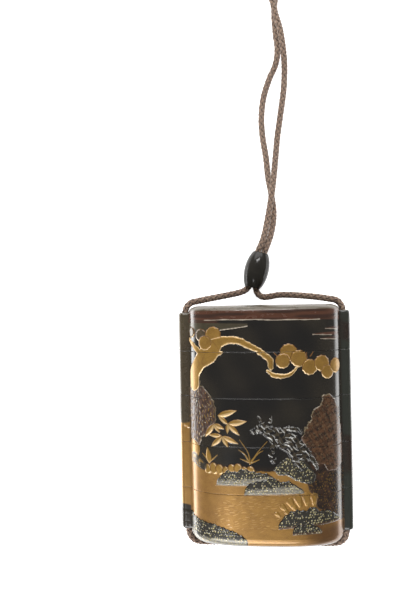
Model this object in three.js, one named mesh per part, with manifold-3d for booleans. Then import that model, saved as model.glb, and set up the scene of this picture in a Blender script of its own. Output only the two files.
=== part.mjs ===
// An inro: a small lacquered case of stacked compartments, worn hanging from a sash by a cord.
// It lies on its back: +Z is the decorated front, +Y is the lid's end, and the origin is under its middle.
// A lid and four cases fit over one another's risers. A cord runs through a rib on either side and
// under the base, and a bead on its two strands slides down to keep the stack shut. Millimetres.
import * as THREE from 'three';
import { mergeVertices } from 'three/addons/utils/BufferGeometryUtils.js';
import Module from 'manifold-3d';

// The stack, from the lid down to the lowest case
const LID_HEIGHT = 16.9;
const CASE_HEIGHTS = [16.7, 17.3, 17.0, 18.1];
const BODY_WIDTH = 56;
const BODY_THICKNESS = 24;
const SECTION_POWER = 2.7; // 2 is an ellipse, more is squarer
const SECTION_POINTS = 64;
const END_ROUND_INSET = 4; // how far the rounding of either end runs in across the end
const END_ROUND_HEIGHT = 2.2; // and along the side
const END_ROUND_STEPS = 5;
const BACK_FLAT_DEPTH = 0.3; // taken off the curved back, so that it doesn't roll

// Walls and the joints between the pieces
const WALL = 2.2;
const FLOOR = 1.6;
const END_THICKNESS = 2.4; // the lid's top and the lowest case's base
const RISER_HEIGHT = 4.5;
const RISER_WALL = 0.9;
const FIT_CLEARANCE = 0.3;
const SEAM_GAP = 0.3;

// The ribs at the two sides, and the cord's channels in them
const RIB_STAND_OUT = 3.9;
const RIB_WIDTH = 5.6;
const RIB_END_SETBACK = 2.4;
const RIB_EDGE_ROUND = 1.7;
const RIB_END_ROUND = 1.4;
const RIB_ROUND_STEPS = 3;
const CORD_DIAMETER = 2.6;
const CORD_CLEARANCE = 0.37;
const CHANNEL_OUTER_WALL = 0.8;
const CHANNEL_SIDES = 20;

// The bead, lying on its side above the lid
const BEAD_DIAMETER = 9.2;
const BEAD_LENGTH = 13.8;
const BEAD_PLACE = [-2.0, 56.5];
const BEAD_LEAN = THREE.MathUtils.degToRad(14.8);
const BEAD_SIDES = 28;
const BEAD_PROFILE_STEPS = 10;
const BEAD_LIP = 0.25;

// The cord
const CORD_SIDES = 8;
const CORD_BEND = 4.2; // radius of its turn round a corner of the case, at its middle
const CORD_BEND_STEPS = 4;
const CORD_LEAD = 5; // straight stretch before each turn
const CORD_BASE_GAP = 0.45;
const CORD_JOIN_GAP = 1; // between the line's two ends, hidden in the left channel

const bodyLength = LID_HEIGHT + CASE_HEIGHTS.reduce((sum, height) => sum + height, 0);
const top = bodyLength / 2;
const axisHeight = BODY_THICKNESS / 2 - BACK_FLAT_DEPTH;
const channelRadius = CORD_DIAMETER / 2 + CORD_CLEARANCE;
const channelX = BODY_WIDTH / 2 + RIB_STAND_OUT - CHANNEL_OUTER_WALL - channelRadius;
const riserInset = WALL - RISER_WALL;
const recessInset = riserInset - FIT_CLEARANCE;
const recessDepth = RISER_HEIGHT + FIT_CLEARANCE;
const throughAll = 4 * (bodyLength + BODY_WIDTH);

const wasm = await Module();
wasm.setup();

function toSolid(geometry) {
  const bare = geometry.index ? geometry.toNonIndexed() : geometry.clone();
  bare.deleteAttribute('normal');
  bare.deleteAttribute('uv');
  const merged = mergeVertices(bare, 1e-4);
  return new wasm.Manifold(new wasm.Mesh({
    numProp: 3,
    vertProperties: new Float32Array(merged.attributes.position.array),
    triVerts: new Uint32Array(merged.index.array),
  }));
}

function toGeometry(solid) {
  const mesh = solid.getMesh();
  const geometry = new THREE.BufferGeometry();
  geometry.setAttribute('position', new THREE.BufferAttribute(mesh.vertProperties, 3));
  geometry.setIndex(new THREE.BufferAttribute(mesh.triVerts, 1));
  geometry.computeVertexNormals();
  return geometry;
}

// The case's cross-section, drawn in from its outside by `inset`
function sectionShape(inset) {
  const halfWidth = BODY_WIDTH / 2 - inset;
  const halfThickness = BODY_THICKNESS / 2 - inset;
  const points = [];
  for (let i = 0; i < SECTION_POINTS; i++) {
    const angle = (2 * Math.PI * i) / SECTION_POINTS;
    const c = Math.cos(angle);
    const s = Math.sin(angle);
    points.push(new THREE.Vector2(
      halfWidth * Math.sign(c) * Math.abs(c) ** (2 / SECTION_POWER),
      halfThickness * Math.sign(s) * Math.abs(s) ** (2 / SECTION_POWER),
    ));
  }
  return new THREE.Shape(points);
}

// A plain length of the section between two places along the case
function sectionLength(inset, from, to) {
  const geometry = new THREE.ExtrudeGeometry(sectionShape(inset), { depth: to - from, bevelEnabled: false });
  geometry.rotateX(-Math.PI / 2);
  geometry.translate(0, from, axisHeight);
  return toSolid(geometry);
}

// The whole outside of the stack, with both ends rounded over
function outerBody() {
  const geometry = new THREE.ExtrudeGeometry(sectionShape(0), {
    depth: bodyLength - 2 * END_ROUND_HEIGHT,
    bevelEnabled: true,
    bevelThickness: END_ROUND_HEIGHT,
    bevelSize: END_ROUND_INSET,
    bevelOffset: -END_ROUND_INSET,
    bevelSegments: END_ROUND_STEPS,
  });
  geometry.rotateX(-Math.PI / 2);
  geometry.translate(0, END_ROUND_HEIGHT - top, axisHeight);
  return toSolid(geometry);
}

// One rib: a strip with rounded outer edges, rooted in the wall
function rib(side) {
  const outer = BODY_WIDTH / 2 + RIB_STAND_OUT;
  const root = BODY_WIDTH / 2 - WALL - RIB_EDGE_ROUND;
  const half = RIB_WIDTH / 2;
  const corner = outer - RIB_EDGE_ROUND;
  const shape = new THREE.Shape();
  shape.moveTo(root, -half);
  shape.lineTo(corner, -half);
  shape.absarc(corner, -half + RIB_EDGE_ROUND, RIB_EDGE_ROUND, -Math.PI / 2, 0, false);
  shape.absarc(corner, half - RIB_EDGE_ROUND, RIB_EDGE_ROUND, 0, Math.PI / 2, false);
  shape.lineTo(root, half);
  shape.closePath();
  const length = bodyLength - 2 * RIB_END_SETBACK;
  const geometry = new THREE.ExtrudeGeometry(shape, {
    depth: length - 2 * RIB_END_ROUND,
    curveSegments: RIB_ROUND_STEPS,
    bevelEnabled: true,
    bevelThickness: RIB_END_ROUND,
    bevelSize: RIB_END_ROUND,
    bevelOffset: -RIB_END_ROUND,
    bevelSegments: RIB_ROUND_STEPS,
  });
  geometry.rotateX(-Math.PI / 2);
  if (side < 0) geometry.rotateY(Math.PI);
  geometry.translate(0, RIB_END_ROUND - length / 2, axisHeight);
  return toSolid(geometry);
}

function channel(side) {
  const geometry = new THREE.CylinderGeometry(channelRadius, channelRadius, throughAll, CHANNEL_SIDES);
  geometry.translate(side * channelX, 0, axisHeight);
  return toSolid(geometry);
}

function box(width, length, height, x, y, z) {
  const geometry = new THREE.BoxGeometry(width, length, height);
  geometry.translate(x, y, z);
  return toSolid(geometry);
}

const outside = outerBody()
  .add(rib(1))
  .add(rib(-1))
  .subtract(channel(1))
  .subtract(channel(-1))
  .subtract(box(throughAll, throughAll, throughAll, 0, 0, -throughAll / 2));

// The outside of one piece, a seam's gap short at its lower end
function slice(from, to) {
  return outside.intersect(box(throughAll, to - from, throughAll, 0, (from + to) / 2, axisHeight));
}

function lidSolid(from) {
  const ceiling = top - END_THICKNESS;
  return slice(from + SEAM_GAP, top + WALL)
    .subtract(sectionLength(WALL, from, ceiling))
    .subtract(sectionLength(recessInset, from, from + SEAM_GAP + recessDepth));
}

function caseSolid(from, to, isLowest) {
  const floorTop = isLowest ? from + END_THICKNESS : from + SEAM_GAP + recessDepth + FLOOR;
  const foot = isLowest ? from - WALL : from + SEAM_GAP;
  const riserTop = to + RISER_HEIGHT;
  let solid = slice(foot, to)
    .add(sectionLength(riserInset, to - RISER_WALL, riserTop))
    .subtract(sectionLength(WALL, floorTop, riserTop + WALL));
  if (!isLowest) solid = solid.subtract(sectionLength(recessInset, from, from + SEAM_GAP + recessDepth));
  return solid;
}

// A barrel with rounded ends, whose hole takes the two strands side by side
function beadGeometry() {
  const hole = CORD_DIAMETER + CORD_CLEARANCE / 2;
  const radius = BEAD_DIAMETER / 2;
  const halfLength = BEAD_LENGTH / 2;
  const mouth = hole + BEAD_LIP;
  const curveLength = halfLength / Math.sqrt(1 - (mouth / radius) ** 2);
  const profile = [];
  for (let i = 0; i <= BEAD_PROFILE_STEPS; i++) {
    const y = halfLength * Math.sin((Math.PI / 2) * ((2 * i) / BEAD_PROFILE_STEPS - 1));
    profile.push(new THREE.Vector2(radius * Math.sqrt(1 - (y / curveLength) ** 2), y));
  }
  profile.push(new THREE.Vector2(hole, halfLength - BEAD_LIP));
  profile.push(new THREE.Vector2(hole, BEAD_LIP - halfLength));
  profile.push(profile[0].clone());
  return new THREE.LatheGeometry(profile, BEAD_SIDES);
}

// The strand that lies over the other one, from the left rib's mouth to the bight
const OVER_STRAND = [
  [-21.6, 45.5, 10.2], [-17.2, 46.3, 8.3], [-12.4, 47.2, 6.4], [-9.0, 47.9, 5.4],
  [-6.6, 48.8, 4.8], [-5.05, 50.4, 4.6], [-4.45, 52.6, 4.6], [-3.3, 56.8, 4.6],
  [-1.65, 63.0, 4.6], [0.8, 69.0, 4.5], [2.9, 77.9, 4.3], [4.3, 85.0, 4.05],
  [5.4, 92.8, 3.3], [6.3, 100.7, 2.1], [7.3, 109.6, 1.4], [8.7, 118.5, 1.35],
  [10.0, 127.3, 1.35], [10.5, 136.0, 1.6], [10.1, 141.9, 2.9], [8.9, 150.0, 3.95],
  [7.2, 156.0, 4.1], [6.0, 161.8, 4.0], [3.4, 168.4, 2.4],
];
// The loop at the top, just outside the picture
const BIGHT = [
  [0.9, 175.0, 1.45], [1.4, 181.0, 1.35], [5.9, 184.8, 1.35], [10.9, 182.1, 1.35], [12.1, 176.2, 1.35],
];
// The other strand, back down to the right rib's mouth
const UNDER_STRAND = [
  [9.8, 169.2, 1.35], [7.3, 163.0, 1.35], [6.9, 157.2, 1.35], [7.3, 149.5, 1.35],
  [7.9, 143.4, 1.35], [7.0, 137.6, 1.35], [4.5, 132.1, 1.35], [2.1, 124.8, 1.35],
  [1.1, 117.0, 1.35], [1.35, 109.9, 1.35], [2.6, 101.0, 1.35], [3.3, 93.2, 1.35],
  [4.6, 85.4, 1.35], [5.3, 78.2, 1.6], [4.2, 70.4, 3.2], [1.05, 62.6, 4.6],
  [-0.6, 56.5, 4.6], [-2.35, 49.9, 4.6], [-2.0, 48.0, 4.6], [-0.9, 46.6, 4.65],
  [0.8, 46.0, 4.8], [3.0, 46.2, 5.2], [6.5, 46.7, 6.2], [13.4, 46.4, 8.0],
  [20.4, 45.6, 9.9],
];

// A quarter turn of the cord round a corner of the case, from its channel inwards
function cornerTurn(side, end, outerY) {
  const centreX = side * (channelX - CORD_BEND);
  const centreY = outerY - end * CORD_BEND;
  const points = [[side * channelX, centreY - end * CORD_LEAD, axisHeight]];
  for (let i = 0; i <= CORD_BEND_STEPS; i++) {
    const angle = ((Math.PI / 2) * i) / CORD_BEND_STEPS;
    points.push([
      centreX + side * CORD_BEND * Math.cos(angle),
      centreY + end * CORD_BEND * Math.sin(angle),
      axisHeight,
    ]);
  }
  return points;
}

function cordRoute() {
  const reach = top + CORD_BASE_GAP + CORD_DIAMETER / 2;
  const startY = CORD_JOIN_GAP / 2;
  const points = [
    [-channelX, startY, axisHeight],
    ...cornerTurn(-1, 1, reach),
    ...OVER_STRAND,
    ...BIGHT,
    ...UNDER_STRAND,
    ...cornerTurn(1, 1, reach).reverse(),
    ...cornerTurn(1, -1, -reach),
    [0, -reach, axisHeight],
    ...cornerTurn(-1, -1, -reach).reverse(),
    [-channelX, -startY, axisHeight],
  ];
  return points.map((point) => new THREE.Vector3(...point));
}

// A smooth curve that is cut at its own points, so that the tube keeps every turn
class StationCurve extends THREE.CatmullRomCurve3 {
  getUtoTmapping(u) {
    return u;
  }
}

function cordGeometry() {
  const route = cordRoute();
  const section = new THREE.Shape();
  for (let i = 0; i < CORD_SIDES; i++) {
    const angle = (2 * Math.PI * i) / CORD_SIDES;
    const x = (CORD_DIAMETER / 2) * Math.cos(angle);
    const y = (CORD_DIAMETER / 2) * Math.sin(angle);
    if (i === 0) section.moveTo(x, y);
    else section.lineTo(x, y);
  }
  section.closePath();
  return new THREE.ExtrudeGeometry(section, {
    steps: route.length - 1,
    extrudePath: new StationCurve(route, false, 'centripetal'),
    bevelEnabled: false,
  });
}

const lacquer = new THREE.MeshStandardMaterial({ color: 0x24221f, roughness: 0.25, metalness: 0 });
const goldLacquer = new THREE.MeshStandardMaterial({ color: 0x9a7136, roughness: 0.35, metalness: 0.4 });
const horn = new THREE.MeshStandardMaterial({ color: 0x1f1d1b, roughness: 0.2, metalness: 0 });
const silk = new THREE.MeshStandardMaterial({ color: 0x6f5c4e, roughness: 0.9, metalness: 0 });

const part = new THREE.Group();

function addMesh(name, geometry, material) {
  const mesh = new THREE.Mesh(geometry, material);
  mesh.name = name;
  part.add(mesh);
  return mesh;
}

let level = top - LID_HEIGHT;
addMesh('lid', toGeometry(lidSolid(level)), lacquer);
CASE_HEIGHTS.forEach((height, i) => {
  const isLowest = i === CASE_HEIGHTS.length - 1;
  const material = isLowest ? goldLacquer : lacquer;
  addMesh(`case_${i + 1}`, toGeometry(caseSolid(level - height, level, isLowest)), material);
  level -= height;
});

const bead = addMesh('bead', beadGeometry(), horn);
bead.position.set(BEAD_PLACE[0], BEAD_PLACE[1], BEAD_DIAMETER / 2);
bead.rotation.z = -BEAD_LEAN;

addMesh('cord', cordGeometry(), silk);

export default part;
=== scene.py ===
"""Looks of an inro, a small lacquered case of stacked compartments that hangs from a cord.

The case lies on its back on a pale floor, with its decorated front up. Lengths are in millimetres
until they go into a mesh, which is in metres. The picture on the lacquer is painted over the
unrolled case: s runs round it from the middle of the front or back, and y runs up towards the lid.
"""

import logging
from dataclasses import dataclass, field
from enum import Enum

import bpy
import numpy as np
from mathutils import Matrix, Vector
from mathutils.geometry import delaunay_2d_cdt


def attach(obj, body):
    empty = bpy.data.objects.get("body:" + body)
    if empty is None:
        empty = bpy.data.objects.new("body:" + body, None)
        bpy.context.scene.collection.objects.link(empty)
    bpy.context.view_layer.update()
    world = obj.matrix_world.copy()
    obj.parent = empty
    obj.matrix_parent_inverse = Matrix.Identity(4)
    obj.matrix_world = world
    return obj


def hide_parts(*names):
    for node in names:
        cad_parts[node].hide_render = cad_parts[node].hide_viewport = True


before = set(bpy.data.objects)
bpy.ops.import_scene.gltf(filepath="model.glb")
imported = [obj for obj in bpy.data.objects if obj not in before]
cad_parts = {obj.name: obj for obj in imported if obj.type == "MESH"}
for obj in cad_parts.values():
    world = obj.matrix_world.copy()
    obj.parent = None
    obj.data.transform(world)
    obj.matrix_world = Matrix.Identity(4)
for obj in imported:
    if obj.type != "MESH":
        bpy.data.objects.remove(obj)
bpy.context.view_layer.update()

MM = 0.001
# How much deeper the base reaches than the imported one, in mm
BASE_DROP = 1.4
# Where the ribs start, as s
RIB_S = 31.45
log = logging.getLogger("inro")

Rgba = tuple[float, float, float, float]
Feed = float | Rgba | bpy.types.NodeSocket


class Side(Enum):
    """The two broad sides of the case."""

    FRONT = 1
    BACK = -1


class End(Enum):
    """How a piece of the stack ends."""

    SEAM = "seam"
    ROUNDED = "rounded"


@dataclass(frozen=True)
class Coat:
    """One coat of lacquer: its colour, how it takes the light, and its powder and flecks from 0 to 1."""

    color: tuple[float, float, float]
    metal: float = 0.0
    rough: float = 0.2
    grain: float = 0.0
    fleck: float = 0.0


BLACK = Coat((0.010, 0.009, 0.008), rough=0.15)
SMOKE = Coat((0.026, 0.021, 0.014), rough=0.2)
GREEN = Coat((0.026, 0.028, 0.022), rough=0.2)
BROWN = Coat((0.080, 0.032, 0.018), rough=0.24, grain=0.2)
RUSSET = Coat((0.090, 0.040, 0.016), metal=0.1, rough=0.34, grain=0.8)
UMBER = Coat((0.021, 0.011, 0.007), rough=0.26, grain=0.4)
DIM_GOLD = Coat((0.095, 0.042, 0.016), metal=0.4, rough=0.34, grain=0.5)
OLIVE = Coat((0.052, 0.042, 0.024), metal=0.1, rough=0.28, grain=0.5)
MIST = Coat((0.150, 0.115, 0.065), metal=0.2, rough=0.32, grain=0.7)
GOLD = Coat((0.308, 0.172, 0.034), metal=0.45, rough=0.36, grain=0.5)
GROUND = Coat((0.345, 0.184, 0.043), metal=0.45, rough=0.32, grain=0.4)
WAVE = Coat((0.66, 0.40, 0.14), metal=0.45, rough=0.34, grain=0.3)
PALE = Coat((0.80, 0.58, 0.31), metal=0.35, rough=0.3, grain=0.2)
EDGE_HIGHLIGHT = Coat((0.56, 0.48, 0.38), metal=0.1, rough=0.3, grain=0.3)
DEEP = Coat((0.17, 0.075, 0.020), metal=0.3, rough=0.4, grain=0.6)
BARK = Coat((0.075, 0.038, 0.024), metal=0.15, rough=0.42, grain=0.9, fleck=0.1)
ROCK = Coat((0.026, 0.023, 0.017), metal=0.1, rough=0.3, grain=0.5, fleck=0.2)
PEARL = Coat((0.27, 0.25, 0.205), metal=0.2, rough=0.3, grain=0.5, fleck=0.5)
SPECK = Coat((0.42, 0.36, 0.17), metal=0.35, rough=0.3, grain=0.9)
SILVER = Coat((0.60, 0.59, 0.55), metal=0.5, rough=0.3, grain=0.2)
INSIDE = Coat((0.10, 0.045, 0.015), metal=0.2, rough=0.35, grain=0.6, fleck=0.6)


def smooth(value: np.ndarray, low: float, high: float) -> np.ndarray:
    """Rises from 0 at low to 1 at high along an S.

    Args:
        value: the numbers to map.
        low: where the rise starts.
        high: where it ends.

    Returns:
        Numbers from 0 to 1.
    """
    t = np.clip((value - low) / (high - low), 0.0, 1.0)
    return t * t * (3.0 - 2.0 * t)


def ripple(s: np.ndarray, y: np.ndarray, scale: float, seed: float) -> np.ndarray:
    """A smooth wandering from -1 to 1: the mean of four sine waves that run in different directions.

    Args:
        s: places round the case.
        y: places along the case.
        scale: length of a wander, in mm.
        seed: shifts the pattern.

    Returns:
        One number for each place.
    """
    turns = ((1.0, 0.35), (-0.6, 0.9), (0.45, -1.15), (1.3, 0.8))
    total = sum(
        np.sin((a * s + b * y) * 2 * np.pi / scale * (1 + 0.23 * k) + seed * (k + 1.7))
        for k, (a, b) in enumerate(turns)
    )
    return total / len(turns)


def stroke(s: np.ndarray, y: np.ndarray, points: list, widths: list) -> np.ndarray:
    """How far inside a brush stroke each place lies.

    The stroke is a chain of straight pieces, and its half width runs evenly from one point's to
    the next one's. The depth is that half width less the distance from the chain.

    Args:
        s: places round the case.
        y: places along the case.
        points: the chain's (s, y) points.
        widths: the half width at each point.

    Returns:
        The depth in mm, positive inside.
    """
    depth = np.full(s.shape, -1e3)
    for (ax, ay), (bx, by), wa, wb in zip(points, points[1:], widths, widths[1:]):
        dx, dy = bx - ax, by - ay
        t = np.clip(((s - ax) * dx + (y - ay) * dy) / (dx * dx + dy * dy), 0.0, 1.0)
        away = np.hypot(s - ax - t * dx, y - ay - t * dy)
        depth = np.maximum(depth, wa + (wb - wa) * t - away)
    return depth


def curve(points: list, steps: int = 6) -> list:
    """Points on a smooth line through the given ones, by the Catmull-Rom formula.

    Args:
        points: the (s, y, ...) rows to pass through.
        steps: how many pieces each span is cut into.

    Returns:
        The finer list of rows.
    """
    p = np.array(points, float)
    p = np.vstack([2 * p[0] - p[1], p, 2 * p[-1] - p[-2]])
    t = np.linspace(0, 1, steps, endpoint=False)[:, None]
    rows = [
        0.5 * (2 * b + (c - a) * t + (2 * a - 5 * b + 4 * c - d) * t**2 + (3 * b - a - 3 * c + d) * t**3)
        for a, b, c, d in zip(p, p[1:], p[2:], p[3:])
    ]
    return [tuple(row) for row in np.vstack([*rows, p[-2:-1]])]


def brush(s: np.ndarray, y: np.ndarray, rows: list) -> np.ndarray:
    """A stroke along a smooth line.

    Args:
        s: places round the case.
        y: places along the case.
        rows: (s, y, half width) along the stroke.

    Returns:
        The depth in mm, positive inside.
    """
    fine = curve(rows)
    return stroke(s, y, [row[:2] for row in fine], [row[2] for row in fine])


def toward(start: tuple, degrees: float, length: float) -> tuple:
    """The place that lies a length away from start, at an angle from +s."""
    way = np.radians(degrees)
    return start[0] + length * np.cos(way), start[1] + length * np.sin(way)


def leaf(s: np.ndarray, y: np.ndarray, root: tuple, tip: tuple, width: float) -> np.ndarray:
    """A pointed leaf, whose half width is `width` times sin(pi * t ** 0.8), t being the way along it.

    Args:
        s: places round the case.
        y: places along the case.
        root: where it starts.
        tip: where it ends.
        width: its greatest half width.

    Returns:
        The depth in mm, positive inside.
    """
    dx, dy = tip[0] - root[0], tip[1] - root[1]
    length = np.hypot(dx, dy)
    t = ((s - root[0]) * dx + (y - root[1]) * dy) / length**2
    off = np.abs((s - root[0]) * dy - (y - root[1]) * dx) / length
    shape = width * np.sin(np.pi * np.clip(t, 0, 1) ** 0.8)
    return np.where((t > 0) & (t < 1), shape - off, -1.0)


@dataclass(frozen=True)
class Bank:
    """A low bank of ground with a flat foot, which rises to the right by lean, and a humped top."""

    left: float
    right: float
    base: float
    height: float
    lean: float

    def share(self, s: np.ndarray) -> np.ndarray:
        """How far from the left end to the right one each place lies, from 0 to 1."""
        return np.clip((s - self.left) / (self.right - self.left), 0, 1)

    def foot(self, s: np.ndarray) -> np.ndarray:
        """The level of its foot at each place."""
        return self.base + self.lean * self.share(s)

    def depth(self, s: np.ndarray, y: np.ndarray) -> np.ndarray:
        """How far inside it each place lies.

        The top stands over the foot by the height times the square root of the sine of the way
        along, to the power 0.75, roughened by a ripple.

        Args:
            s: places round the case.
            y: places along the case.

        Returns:
            The depth in mm, positive inside.
        """
        rough = 1 + 0.16 * ripple(s, 0 * y, 5.0, self.left)
        hump = self.height * np.sqrt(np.sin(np.pi * self.share(s) ** 0.75)) * rough
        foot = self.foot(s)
        ends = np.minimum(s - self.left, self.right - s)
        return np.minimum(np.minimum(foot + hump - y, y - foot), ends)


def chance(row: np.ndarray, place: np.ndarray, seed: float) -> np.ndarray:
    """A number from 0 to 1 for each cell of a grid, the same at every run: the end of a large sine."""
    return np.modf(np.abs(np.sin(row * 127.1 + place * 311.7 + seed * 74.7) * 43758.5453))[0]


def dashes(
    s: np.ndarray, y: np.ndarray, turn: float, row: float, length: float, width: float, seed: float
) -> np.ndarray:
    """Scattered short strokes, laid like bricks in rows, with some bricks left out.

    Args:
        s: places round the case.
        y: places along the case.
        turn: which way the rows run, in degrees.
        row: how far apart they are.
        length: the length of a brick.
        width: half the greatest width of a stroke.
        seed: shifts the pattern.

    Returns:
        The depth in mm, positive inside.
    """
    way = np.radians(turn)
    u = s * np.cos(way) + y * np.sin(way)
    v = y * np.cos(way) - s * np.sin(way) + 0.4 * row * np.sin(0.9 * u + seed)
    j = np.floor(v / row)
    shifted = u / length + chance(j, seed, 1.0) * 3.0
    i = np.floor(shifted)
    du, dv = (shifted - i - 0.5) * length, (v / row - j - 0.5) * row
    thick = width * (0.5 + 0.8 * chance(i, j, 2.0 + seed))
    reach = 0.5 * length * (0.35 + 0.45 * chance(i, j, 3.0 + seed))
    tilt = (chance(i, j, 5.0 + seed) - 0.5) * 0.35
    shape = thick * np.sqrt(np.clip(1 - (du / reach) ** 2, 0, 1)) - np.abs(dv - tilt * du)
    return np.where((chance(i, j, 4.0 + seed) > 0.28) & (np.abs(du) < reach), shape, -0.5)


def dots(s: np.ndarray, y: np.ndarray, pitch: float, seed: float) -> np.ndarray:
    """Scattered round dots, one to a cell, off its middle by chance and of varied size.

    Args:
        s: places round the case.
        y: places along the case.
        pitch: the size of a cell.
        seed: shifts the pattern.

    Returns:
        The depth in mm, positive inside.
    """
    j = np.floor(y / pitch)
    u = s / pitch + 0.5 * (j % 2)
    i = np.floor(u)
    ds = (u - i - 0.5 - 0.55 * (chance(i, j, seed) - 0.5)) * pitch
    dy = (y / pitch - j - 0.5 - 0.55 * (chance(i, j, seed + 2) - 0.5)) * pitch
    size = pitch * (0.15 + 0.15 * chance(i, j, seed + 5))
    return np.where(chance(i, j, seed + 9) > 0.3, size - np.hypot(ds, dy), -0.5)


class Painting:
    """The coats and the relief on one patch of lacquer, laid down motif by motif."""

    EDGE = 0.11

    def __init__(self, s: np.ndarray, y: np.ndarray, under: Coat) -> None:
        """Starts with one coat all over.

        Args:
            s: places round the case.
            y: places along the case.
            under: the coat.
        """
        self.s, self.y = s, y
        self.coat = np.tile(self.row(under), (s.size, 1))
        self.relief = np.zeros(s.size)

    @staticmethod
    def row(coat: Coat) -> np.ndarray:
        """A coat as one row of numbers."""
        return np.array([*coat.color, coat.metal, coat.rough, coat.grain, coat.fleck])

    def lay(
        self, depth: np.ndarray, coat: Coat, rise: float = 0.0, share: float = 1.0, soft: float = EDGE
    ) -> None:
        """Lays a coat where depth is positive, and raises it.

        Args:
            depth: how far inside the motif each place lies.
            coat: the finish.
            rise: how high the motif stands, in mm.
            share: how much of the coat covers what is under it.
            soft: how wide its edge is.
        """
        cover = smooth(depth, -soft / 2, soft / 2) * share
        self.coat += cover[:, None] * (self.row(coat) - self.coat)
        if rise:
            dome = smooth(depth, -0.1, 0.45) * rise
            self.relief = np.maximum(self.relief * (1 - cover * 0.5), dome)

    def edge(
        self, depth: np.ndarray, coat: Coat, width: float, inset: float, where: np.ndarray | None = None
    ) -> None:
        """Draws a line just inside a motif's edge.

        Args:
            depth: how far inside the motif each place lies.
            coat: the line's finish.
            width: its width.
            inset: how far in its outer side lies.
            where: depth of the part to draw it in, or None for all of it.
        """
        line = width / 2 - np.abs(depth - inset - width / 2)
        self.lay(line if where is None else np.minimum(line, where), coat)

    def speckle(self, depth: np.ndarray, seed: float, rise: float, inset: float = 0.25) -> None:
        """Scatters pale dots over a motif.

        Args:
            depth: how far inside the motif each place lies.
            seed: shifts the dots.
            rise: how high they stand, in mm.
            inset: how far they keep from the motif's edge.
        """
        grains = np.minimum(dots(self.s, self.y, 0.95, seed), depth - inset)
        self.lay(grains, SPECK, rise, 0.95, 0.15)


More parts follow.
